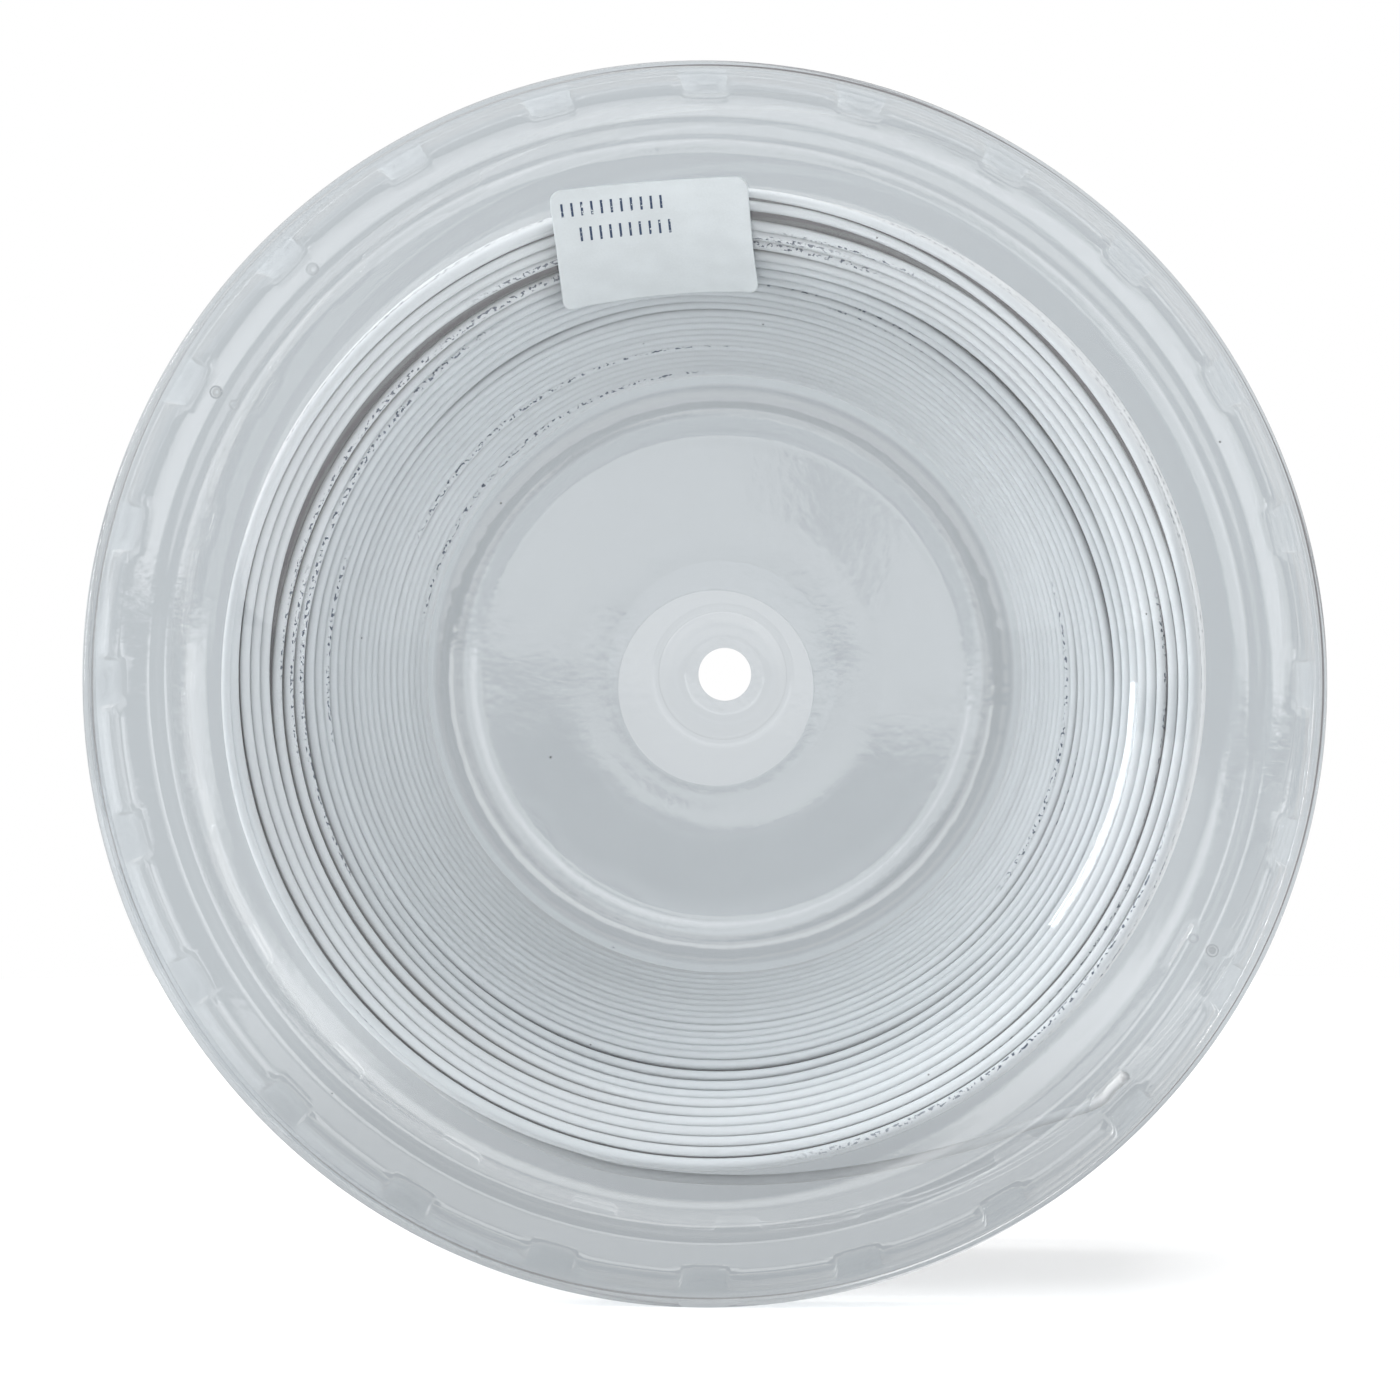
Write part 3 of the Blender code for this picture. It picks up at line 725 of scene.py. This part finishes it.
class NodeTree:
    """A short way to build a material's nodes: each call adds a node and returns its output socket."""

    def __init__(self, owner):
        owner.use_nodes = True
        self.tree = owner.node_tree
        self.tree.nodes.clear()

    def node(self, kind, inputs=None, output=0, **settings):
        made = self.tree.nodes.new(kind)
        for key, value in settings.items():
            setattr(made, key, value)
        for key, value in (inputs or {}).items():
            socket = made.inputs[key]
            if isinstance(value, bpy.types.NodeSocket):
                self.tree.links.new(value, socket)
            elif socket.type == "RGBA" and len(value) == 3:
                socket.default_value = (*value, 1.0)
            else:
                socket.default_value = value
        return made.outputs[output]

    def math(self, operation, first, second=0.0, third=0.0, clamp=False):
        inputs = {0: first, 1: second, 2: third}
        return self.node("ShaderNodeMath", inputs, operation=operation, use_clamp=clamp)

    def product(self, first, *others):
        """The product of all the values."""
        for other in others:
            first = self.math("MULTIPLY", first, other)
        return first

    def apart(self, first, second):
        """How far two values are apart."""
        return self.math("ABSOLUTE", self.math("SUBTRACT", first, second))

    def vector(self, operation, first, second=(0.0, 0.0, 0.0), output=0):
        return self.node("ShaderNodeVectorMath", {0: first, 1: second}, output, operation=operation)

    def distance(self, first, second):
        return self.vector("DISTANCE", first, second, output=1)

    def joined(self, x=0.0, y=0.0, z=0.0):
        """A vector of three values."""
        return self.node("ShaderNodeCombineXYZ", {0: x, 1: y, 2: z})

    def split(self, vector):
        """The three values of a vector."""
        parts = self.tree.nodes.new("ShaderNodeSeparateXYZ")
        self.tree.links.new(vector, parts.inputs[0])
        return tuple(parts.outputs)

    def blend(self, share, first, second):
        """A mix of two colours."""
        return self.node("ShaderNodeMix", {0: share, 6: first, 7: second}, 2, data_type="RGBA")

    def level(self, share, first, second):
        """A mix of two values."""
        return self.node("ShaderNodeMix", {0: share, 2: first, 3: second}, 0)

    def between(self, value, low, high, to_low=0.0, to_high=1.0):
        """A smooth step from to_low where the value is at low to to_high where it is at high."""
        inputs = {0: value, 1: low, 2: high, 3: to_low, 4: to_high}
        return self.node("ShaderNodeMapRange", inputs, interpolation_type="SMOOTHSTEP")

    def fade(self, value, low, high):
        """A smooth step from 1 at low down to 0 at high."""
        return self.between(value, low, high, 1.0, 0.0)

    def noise(self, where, scale, detail=2.0, roughness=0.5):
        inputs = {"Vector": where, "Scale": scale, "Detail": detail, "Roughness": roughness}
        return self.node("ShaderNodeTexNoise", inputs)

    def stretched(self, where, scales, detail, roughness=0.5):
        """Noise with a scale of its own along each axis."""
        return self.noise(self.vector("MULTIPLY", where, scales), 1.0, detail, roughness)

    def bump(self, height, strength=1.0):
        return self.node("ShaderNodeBump", {"Height": height, "Strength": strength, "Distance": 1.0})

    def mixed(self, share, first, second):
        """A mix of two shaders."""
        return self.node("ShaderNodeMixShader", {0: share, 1: first, 2: second})

    def coordinates(self, output="Object"):
        return self.tree.nodes.new("ShaderNodeTexCoord").outputs[output]

    def finish(self, shader, kind="ShaderNodeOutputMaterial"):
        out = self.tree.nodes.new(kind)
        self.tree.links.new(shader, out.inputs["Surface"])


def new_material(name, coordinates="Object"):
    """A material, its nodes, and the coordinates that its patterns follow."""
    material = bpy.data.materials.new(name)
    nodes = NodeTree(material)
    return material, nodes, nodes.coordinates(coordinates)


SHEET_GRAIN = 0.000006
MIRROR_POWER = 9.0
MIRROR_AT_EDGE = 0.92
MIRROR_FACE_ON = 0.050
# Colour of the dark line painted along the cut edge as shade.
CUT_EDGE_SHADE = (0.30, 0.27, 0.27)


def clear_material(
    name, tint, slanted, haze=0.03, roughness=0.02, shine=1.0, marks=(), cut=None, ripples=None, painted_shade_band=None,
):
    """Thin clear sheet: it passes tinted light straight through, mirrors more at a slant, and is hazy.

    tint is the light that a face lets through, and slanted the share of it left where it is seen edge on.
    marks are the (centre, radius, depth) of small round marks left by the mould's vents: each is a bump, with
    a thin ring of painted shade round it. cut is the radius and height of the cut edge, along which a dark
    line of painted shade is drawn. ripples are the height, reach and depth of flow lines about a point of the
    axis.
    painted_shade_band is the inner and outer radius of a ring of painted shade, and the share of light that
    it lets through.
    """
    material, nodes, where = new_material(name)
    height = nodes.product(nodes.noise(where, 900.0, 3.0), SHEET_GRAIN)
    height = nodes.math("MULTIPLY_ADD", nodes.noise(where, 130.0, 1.0), SHEET_GRAIN * 2.5, height)
    if ripples is not None:
        middle, reach, depth = ripples
        flow = nodes.stretched(where, (160.0, 2600.0, 160.0), 3.0, 0.6)
        near = nodes.fade(nodes.distance(where, (0.0, middle, AXIS_HEIGHT)), reach, reach + 0.0008)
        height = nodes.math("MULTIPLY_ADD", nodes.product(flow, near), depth, height)
    lines = []
    # Each mark is a bump, and its ring also darkens the light let through: painted shade.
    for centre, radius, depth in marks:
        ring = nodes.apart(nodes.distance(where, centre), radius)
        height = nodes.math("MULTIPLY_ADD", nodes.fade(ring, 0.0, 0.00013), depth, height)
        lines.append(nodes.between(ring, 0.00004, 0.00015, 1 - 2600 * depth, 1.0))
    normal = nodes.bump(height)
    slant = nodes.node("ShaderNodeLayerWeight", {"Blend": 0.5, "Normal": normal}, 1)
    steep = nodes.math("POWER", slant, MIRROR_POWER)
    mirror = nodes.math("MULTIPLY_ADD", steep, MIRROR_AT_EDGE * shine, MIRROR_FACE_ON * shine, clamp=True)
    edge_on = tuple(face * share for face, share in zip(tint, slanted))
    passed = nodes.blend(nodes.math("POWER", slant, 12.0), tint, edge_on)
    speck = nodes.node(
        "ShaderNodeTexVoronoi", {"Vector": where, "Scale": 110.0, "Randomness": 1.0}, "Distance",
    )
    for share in (nodes.between(speck, 0.010, 0.019, 0.30, 1.0), *lines):
        passed = nodes.vector("MULTIPLY", passed, share)
    centred = nodes.vector("SUBTRACT", where, (0.0, 0.0, AXIS_HEIGHT))
    out = nodes.vector("LENGTH", nodes.vector("MULTIPLY", centred, (1.0, 0.0, 1.0)), output=1)
    # Painted shade: a ring of the web lets less light through.
    if painted_shade_band is not None:
        inner, outer, share = painted_shade_band
        inside = nodes.product(nodes.between(out, inner, inner + 0.0006),
                               nodes.fade(out, outer, outer + 0.0006))
        passed = nodes.vector("MULTIPLY", passed, nodes.math("MULTIPLY_ADD", inside, share - 1, 1.0))
    # Painted shade: a dark line where the sheet's cut edge is seen.
    if cut is not None:
        radius, level = cut
        off = nodes.distance(nodes.vector("MULTIPLY", centred, (0.0, 1.0, 0.0)), (0.0, level, 0.0))
        edge = nodes.product(nodes.fade(nodes.apart(out, radius), 0.00006, 0.00016),
                             nodes.fade(off, 0.00012, 0.00030))
        passed = nodes.blend(edge, passed, CUT_EDGE_SHADE)
    clear = nodes.node("ShaderNodeBsdfTransparent", {"Color": passed})
    rough = nodes.between(nodes.noise(where, 60.0, 2.0), 0.3, 0.7, roughness * 0.6, roughness * 1.6)
    white = {"Color": (1.0, 1.0, 1.0), "Roughness": rough, "Normal": normal}
    sheet = nodes.mixed(mirror, clear, nodes.node("ShaderNodeBsdfGlossy", white))
    milky = {"Base Color": tint, "Roughness": 0.4, "Normal": normal}
    nodes.finish(nodes.mixed(haze, sheet, nodes.node("ShaderNodeBsdfPrincipled", milky)))
    return material


def string_material(name, cord, seed, painted_shade_scale=1.0):
    """White racket string: silky, with a faint wrap of fibres, slow changes of tone and flecks of ink.
    painted_shade_scale darkens the whole colour as painted shade.
    """
    material, nodes, where = new_material(name, "UV")
    along, around, _ = nodes.split(where)
    tone = nodes.between(nodes.noise(nodes.joined(nodes.product(along, 0.02), seed), 1.0, 2.0), 0.3, 0.7)
    # painted_shade_scale below 1 darkens the string's whole colour: painted shade.
    darker, lighter = (tuple(channel * share * painted_shade_scale for channel in cord.tint) for share in (0.90, 1.0))
    base = nodes.blend(tone, darker, lighter)
    # Ink: short strokes in groups along one side of the string, worn away in places.
    strokes = nodes.joined(nodes.product(along, 2.3), nodes.product(around, 9.0), seed)
    stroke = nodes.between(nodes.noise(strokes, 1.0, 3.0), 0.54, 0.58)
    groups = nodes.joined(nodes.product(along, 0.012), 5.0, seed)
    group = nodes.between(nodes.noise(groups, 1.0, 1.0), 0.55, 0.58)
    side = nodes.math("FRACT", nodes.math("ADD", around, 0.5))
    line = nodes.fade(nodes.apart(side, 0.5), 0.07, 0.10)
    base = nodes.blend(nodes.product(stroke, group, line), base, tuple(cord.ink))
    wrap = nodes.math("SINE", nodes.product(nodes.math("MULTIPLY_ADD", along, 1.6, around), TURN * 2))
    fibres = nodes.joined(nodes.product(along, 1.5), nodes.product(around, 30.0))
    fibres = nodes.product(nodes.noise(fibres, 1.0, 2.0), 0.000012)
    nodes.finish(nodes.node("ShaderNodeBsdfPrincipled", {
        "Base Color": base, "Roughness": 0.30, "Specular IOR Level": 0.5, "Coat Weight": 0.15,
        "Coat Roughness": 0.12, "Normal": nodes.bump(nodes.math("MULTIPLY_ADD", wrap, 0.000004, fibres), 0.7),
    }))
    return material


def painted_shade_core_material(cord):
    """Painted shade on the string below the turns that show: dark between its turns and paler along their
    middles.
    """
    material, nodes, where = new_material("painted_shade_string", "UV")
    across = nodes.split(where)[1]
    waver = nodes.stretched(where, (0.03, 0.2, 0.0), 2.0)
    phase = nodes.math("FRACT", nodes.math("MULTIPLY_ADD", waver, 2.5, across))
    pale = nodes.fade(nodes.apart(phase, 0.5), 0.12, 0.36)
    # Painted shade: the deeper string is its colour darkened to 0.16, and the gaps between turns darker
    # still.
    string = tuple(0.16 * channel for channel in cord.tint)
    base = nodes.blend(pale, tuple(cord.gap), string)
    nodes.finish(nodes.node("ShaderNodeBsdfPrincipled", {"Base Color": base, "Roughness": 0.55}))
    return material


# The label's two rows of ticks: lowest, highest, first and last place on the paper, and shift of the ticks.
TICK_ROWS = ((0.80, 0.90, 0.045, 0.60, 0.0), (0.60, 0.71, 0.11, 0.61, 0.37))


def paper_material(label, cord):
    """Matt label paper: faint fibres and mottling, and two rows of plain worn tick marks."""
    material, nodes, where = new_material("label_paper", "UV")
    u, v, _ = nodes.split(where)
    fibre = nodes.stretched(where, (90.0, 60.0, 0.0), 4.0, 0.6)
    cloud = nodes.product(nodes.noise(where, 5.0, 2.0), 0.6)
    tone = nodes.between(nodes.math("MULTIPLY_ADD", fibre, 0.4, cloud), 0.35, 0.65)
    base = nodes.blend(tone, tuple(channel * 0.93 for channel in label.paper), tuple(label.paper))
    marks = 0.0
    for low, high, start, end, shift in TICK_ROWS:
        beat = nodes.math("FRACT", nodes.math("MULTIPLY_ADD", u, 20.0, shift))
        tick = nodes.product(
            nodes.math("GREATER_THAN", v, low), nodes.math("LESS_THAN", v, high),
            nodes.math("GREATER_THAN", u, start), nodes.math("LESS_THAN", u, end),
            nodes.math("LESS_THAN", beat, 0.24),
        )
        marks = nodes.math("MAXIMUM", marks, tick)
    worn = nodes.between(nodes.stretched(where, (60.0, 40.0, 0.0), 2.0), 0.30, 0.42)
    base = nodes.blend(nodes.product(marks, worn), base, tuple(cord.ink))
    nodes.finish(nodes.node("ShaderNodeBsdfPrincipled", {
        "Base Color": base, "Roughness": 0.62, "Specular IOR Level": 0.35,
        "Normal": nodes.bump(nodes.product(fibre, 0.00002), 0.6),
    }))
    return material


def floor_material(stage):
    """A plain floor: white to the camera apart from the object's shadow, and the backdrop behind plastic,
    with a painted shadow that darkens it near the reel.
    """
    material, nodes, where = new_material("floor")
    mottle = nodes.between(nodes.noise(where, 3.0, 1.0), 0.3, 0.7, 0.985, 1.0)
    base = nodes.vector("MULTIPLY", mottle, tuple(stage.floor))
    matt = nodes.node("ShaderNodeBsdfDiffuse", {"Color": base})
    white = nodes.node("ShaderNodeEmission", {"Color": (1.0, 1.0, 1.0), "Strength": stage.floor_glow})
    shown = nodes.node("ShaderNodeAddShader", {0: matt, 1: white})
    # Painted shadow: behind plastic the floor falls to 0.72 of the backdrop near the reel.
    away = nodes.between(nodes.vector("LENGTH", where, output=1), 0.08, 0.49, 0.72, 1.0)
    grey = nodes.node("ShaderNodeEmission", {"Color": tuple(stage.backdrop), "Strength": away})
    path = nodes.tree.nodes.new("ShaderNodeLightPath")
    behind = nodes.math("GREATER_THAN", path.outputs["Transparent Depth"], 0.5)
    nodes.finish(nodes.mixed(path.outputs["Is Camera Ray"], matt, nodes.mixed(behind, shown, grey)))
    return material


def finish_piece(thing, material, slot, *nodes):
    """Give a piece its material and its body, and hide the CAD nodes that it stands for. slot is not used."""
    thing.data.materials.clear()
    thing.data.materials.append(material)
    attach(thing, BODY)
    if nodes:
        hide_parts(*nodes)


# Operators

# Marks that the mould's vents left on the front flange, each a bump with a thin ring of painted shade:
# distance from the axis, degrees, radius and depth.
VENT_MARKS = (
    (0.0666, 149.4, 0.00068, 0.00010), (0.0640, 149.6, 0.00062, 0.00004), (0.0666, 133.6, 0.00068, 0.00004),
    (0.0666, -27.7, 0.00068, 0.00010), (0.0640, -27.5, 0.00062, 0.00004),
)


class STRINGREEL_OT_bowls(Operator):
    """Make the two clear bowls"""

    bl_idname = "stringreel.bowls"
    bl_label = "Clear bowls"

    def execute(self, context):
        bowl, cord = context.scene.reel_bowl, context.scene.reel_string
        self.add_front(bowl, cord)
        self.add_rear(bowl)
        return {"FINISHED"}

    @staticmethod
    def add_front(bowl, cord):
        """The front bowl: its web is punched out round the hub, and its flange has two slits."""
        flange = bowl.flange_height + bowl.step_rise + bowl.wall
        marks = [
            (tuple(place(radius, math.radians(degrees), flange, FRONT)), size, depth)
            for radius, degrees, size, depth in VENT_MARKS
        ]
        material = clear_material(
            "clear_front", tuple(bowl.tint), tuple(bowl.edge_tint), marks=marks,
            cut=(RIM_RADIUS - bowl.wall / 2, bowl.skirt - HALF_WIDTH),
        )
        punched = [(bowl.punch_radius, WEB_HEIGHT)]
        front = add_bowl_sheet("front_bowl_clear", bowl, punched, FRONT, offset=(-0.0007, -0.0015))
        held = cord.diameter + 2 * cord.clearance
        cut_slits(front, bowl, (
            (TAIL_SLIT["radius"], TAIL_SLIT["angle"], held, SLIT_LENGTH, 0.0019, 0.0005),
            (SPARE_SLIT["radius"], SPARE_SLIT["angle"], 0.0004, SLIT_LENGTH, 0.0030, 0.0001),
        ))
        finish_piece(front, material, "clear_plastic", "front_bowl")

    @staticmethod
    def add_rear(bowl):
        """The rear bowl: its web holds the hub, a small cup with the bore in its floor."""
        floor = WEB_HEIGHT + bowl.cup_depth
        foot = (bowl.cup_radius + bowl.cup_taper, WEB_HEIGHT)
        hub = [(bowl.bore_radius, floor), (bowl.cup_radius, floor), foot]
        material = clear_material(
            "clear_rear", tuple(bowl.rear_tint), (0.96, 0.97, 0.975), shine=0.4,
            ripples=(floor, 0.0082, 0.00010),
            # The web's ring between the bead and the bend is darkened as painted shade.
            painted_shade_band=(bowl.bead_radius + 0.0004, bowl.web_radius - 0.0004, 0.91),
        )
        rear = add_bowl_sheet("rear_bowl_clear", bowl, hub, REAR)
        finish_piece(rear, material, "clear_plastic", "rear_bowl")


class STRINGREEL_OT_winding(Operator):
    """Make the wound string: the turns on both walls, the outer layer and the shaded string below them"""

    bl_idname = "stringreel.winding"
    bl_label = "Wound string"

    def execute(self, context):
        bowl, cord = context.scene.reel_bowl, context.scene.reel_string
        core = add_string_core(bowl, cord)
        finish_piece(core, painted_shade_core_material(cord), "string", "string_coil")
        front = add_flank_turns("front_turns", bowl, cord, FRONT, FRONT_SEED)
        finish_piece(front, string_material("string_front", cord, 1.0), "string")
        rear = add_flank_turns("rear_turns", bowl, cord, REAR, REAR_SEED)
        finish_piece(rear, string_material("string_rear", cord, 2.0), "string")
        finish_piece(add_outer_turns(cord), string_material("string_outer", cord, 3.0), "string")
        return {"FINISHED"}


class STRINGREEL_OT_string_end(Operator):
    """Make the end of the string, held by its slit"""

    bl_idname = "stringreel.string_end"
    bl_label = "String end"

    def execute(self, context):
        end = add_string_end(context.scene.reel_bowl, context.scene.reel_string)
        # The string's end gets a darker copy of the string's colour: painted shade.
        material = string_material("string_end", context.scene.reel_string, 4.0, painted_shade_scale=0.62)
        finish_piece(end, material, "string", "string_tail")
        return {"FINISHED"}


class STRINGREEL_OT_adhesive(Operator):
    """Make the film of adhesive between the webs"""

    bl_idname = "stringreel.adhesive"
    bl_label = "Adhesive film"

    def execute(self, context):
        material = clear_material(
            "adhesive", (0.992, 0.992, 0.992), (0.60, 0.62, 0.64), haze=0.005, roughness=0.10, shine=0.4,
        )
        finish_piece(add_adhesive_film(), material, "adhesive", "web_adhesive")
        return {"FINISHED"}


class STRINGREEL_OT_label(Operator):
    """Make the paper price label"""

    bl_idname = "stringreel.label"
    bl_label = "Price label"

    def execute(self, context):
        scene = context.scene
        label = add_paper_label(scene.reel_bowl, scene.reel_string, scene.reel_label)
        finish_piece(label, paper_material(scene.reel_label, scene.reel_string), "paper", "price_label")
        return {"FINISHED"}


def add_area_light(name, location, target, size, power):
    """A rectangular lamp at a place, turned to face a target."""
    lamp = bpy.data.lights.new(name, "AREA")
    lamp.shape = "RECTANGLE"
    lamp.size, lamp.size_y = size
    lamp.energy = power
    thing = bpy.data.objects.new(name, lamp)
    thing.location = location
    thing.rotation_euler = (Vector(target) - Vector(location)).to_track_quat("-Z", "Y").to_euler()
    bpy.context.scene.collection.objects.link(thing)
    return thing


class STRINGREEL_OT_stage(Operator):
    """Make the floor, the lamps, the surroundings and the camera"""

    bl_idname = "stringreel.stage"
    bl_label = "Stage"

    def execute(self, context):
        scene, stage = context.scene, context.scene.reel_stage
        scene.view_settings.view_transform = "Standard"
        scene.cycles.transparent_max_bounces = 32
        self.add_floor(stage)
        self.add_surroundings(scene, stage)
        centre = (0.0, 0.0, AXIS_HEIGHT)
        for name, location, size, power in (
            ("key", (-1.45, -0.60, 0.66), 0.9, 27.5), ("fill", (1.20, -0.70, 0.20), 0.8, 9.0),
            ("top", (0.0, -0.02, 1.10), 0.45, 5.0),
        ):
            add_area_light(name, location, centre, (size, size), power).visible_glossy = False
        add_area_light("strip", (-1.0, -0.12, 0.34), centre, (0.06, 0.62), 2.2)
        self.add_camera(scene, stage)
        return {"FINISHED"}

    @staticmethod
    def add_floor(stage):
        """A flat disc round the point where the reel stands."""
        radius = np.array([0.0005, 0.25, 0.5])[:, None]
        angle = np.linspace(0.0, TURN, 64, endpoint=False)[None, :]
        flat = np.stack([radius * np.cos(angle), radius * np.sin(angle), 0.0 * radius * angle], axis=-1)
        floor = grid_object("floor", flat, wrap=(False, True), inward=True)
        floor.data.materials.append(floor_material(stage))

    @staticmethod
    def add_surroundings(scene, stage):
        """White to the camera, and a pale grey backdrop behind clear plastic.

        What else the object mirrors is a room that is paler high up, with the camera's dark shape before it.
        """
        world = bpy.data.worlds.new("studio")
        scene.world = world
        nodes = NodeTree(world)
        where = nodes.coordinates("Generated")
        x, y, z = nodes.split(where)
        slope = nodes.math("MULTIPLY_ADD", x, -0.35, nodes.product(z, 0.9))
        room = nodes.between(slope, -0.8, 0.9, 0.60, 0.98)
        room = nodes.product(room, nodes.between(y, -0.92, -0.62, 0.30, 1.0))
        # A broad white screen stands behind the camera. Its lower edge and the camera's dark stand before it
        # show in the flat webs and flanges.
        front = nodes.math("LESS_THAN", y, 0.0)
        low = nodes.math("MULTIPLY_ADD", x, 0.12, z)
        bottom = (-0.047, -0.034)
        below = nodes.product(nodes.between(low, -0.16, -0.10), nodes.fade(low, *bottom), front)
        room = nodes.level(below, room, 0.12)
        wide = nodes.math("MULTIPLY_ADD", nodes.math("ADD", z, 0.014), 0.35, 0.004)
        aside = nodes.math("SUBTRACT", nodes.math("ABSOLUTE", nodes.math("ADD", x, 0.048)), wide)
        stand = nodes.product(
            nodes.fade(aside, 0.0, 0.0015), nodes.between(z, -0.016, -0.013), nodes.fade(z, 0.020, 0.024),
        )
        screen = nodes.product(
            nodes.between(low, *bottom), nodes.fade(z, 0.10, 0.16), nodes.fade(x, 0.08, 0.13),
            nodes.between(x, -0.24, -0.18), nodes.math("MULTIPLY_ADD", stand, -0.8, 1.0), front,
        )
        white = nodes.between(nodes.distance(where, (-0.062, -1.0, -0.02)), 0.040, 0.085, 1.18, 2.25)
        room = nodes.level(screen, room, white)
        # The backdrop is what is mirrored at a slant.
        paper = nodes.between(z, -0.10, 0.16, 0.76, 0.56)
        room = nodes.level(nodes.between(y, 0.25, 0.6), room, paper)
        path = nodes.tree.nodes.new("ShaderNodeLightPath")
        behind = nodes.math("GREATER_THAN", path.outputs["Transparent Depth"], 0.5)
        shown = nodes.blend(behind, (1.0, 1.0, 1.0), tuple(stage.backdrop))
        both = nodes.blend(path.outputs["Is Camera Ray"], nodes.joined(room, room, room), shown)
        light = nodes.node("ShaderNodeBackground", {"Color": both, "Strength": 1.0})
        nodes.finish(light, "ShaderNodeOutputWorld")

    @staticmethod
    def add_camera(scene, stage):
        """The camera, at its distance and angles from the middle of the front rim."""
        lens = bpy.data.cameras.new("camera")
        lens.lens = stage.lens
        lens.sensor_width = 36.0
        lens.clip_end = 50.0
        camera = bpy.data.objects.new("camera", lens)
        near = Vector((0.0, -HALF_WIDTH, AXIS_HEIGHT))
        back = Vector((
            math.sin(stage.azimuth) * math.cos(stage.elevation),
            -math.cos(stage.azimuth) * math.cos(stage.elevation),
            math.sin(stage.elevation),
        ))
        camera.location = near + stage.distance * back
        aim = near - Vector((0.0, 0.0, stage.drop)) - camera.location
        camera.rotation_euler = aim.to_track_quat("-Z", "Y").to_euler()
        scene.collection.objects.link(camera)
        scene.camera = camera


class STRINGREEL_PT_reel(Panel):
    """The reel's pieces, sizes and colours"""

    bl_label = "String reel"
    bl_idname = "STRINGREEL_PT_reel"
    bl_space_type = "VIEW_3D"
    bl_region_type = "UI"
    bl_category = "String reel"

    def draw(self, context):
        for made in OPERATORS:
            self.layout.operator(made.bl_idname)
        for owner, kind in GROUPS.items():
            column = self.layout.column(align=True)
            column.label(text=kind.__name__.replace("Settings", ""))
            for key in kind.__annotations__:
                column.prop(getattr(context.scene, owner), key)


GROUPS = {
    "reel_bowl": BowlSettings,
    "reel_string": StringSettings,
    "reel_label": LabelSettings,
    "reel_stage": StageSettings,
}
OPERATORS = (
    STRINGREEL_OT_stage,
    STRINGREEL_OT_bowls,
    STRINGREEL_OT_winding,
    STRINGREEL_OT_string_end,
    STRINGREEL_OT_adhesive,
    STRINGREEL_OT_label,
)
CLASSES = (*GROUPS.values(), *OPERATORS, STRINGREEL_PT_reel)


def register():
    for kind in CLASSES:
        bpy.utils.register_class(kind)
    for owner, kind in GROUPS.items():
        setattr(bpy.types.Scene, owner, PointerProperty(type=kind))


def unregister():
    for owner in GROUPS:
        delattr(bpy.types.Scene, owner)
    for kind in reversed(CLASSES):
        bpy.utils.unregister_class(kind)


def main():
    register()
    for made in OPERATORS:
        group, name = made.bl_idname.split(".")
        getattr(getattr(bpy.ops, group), name)()


if __name__ == "__main__":
    main()
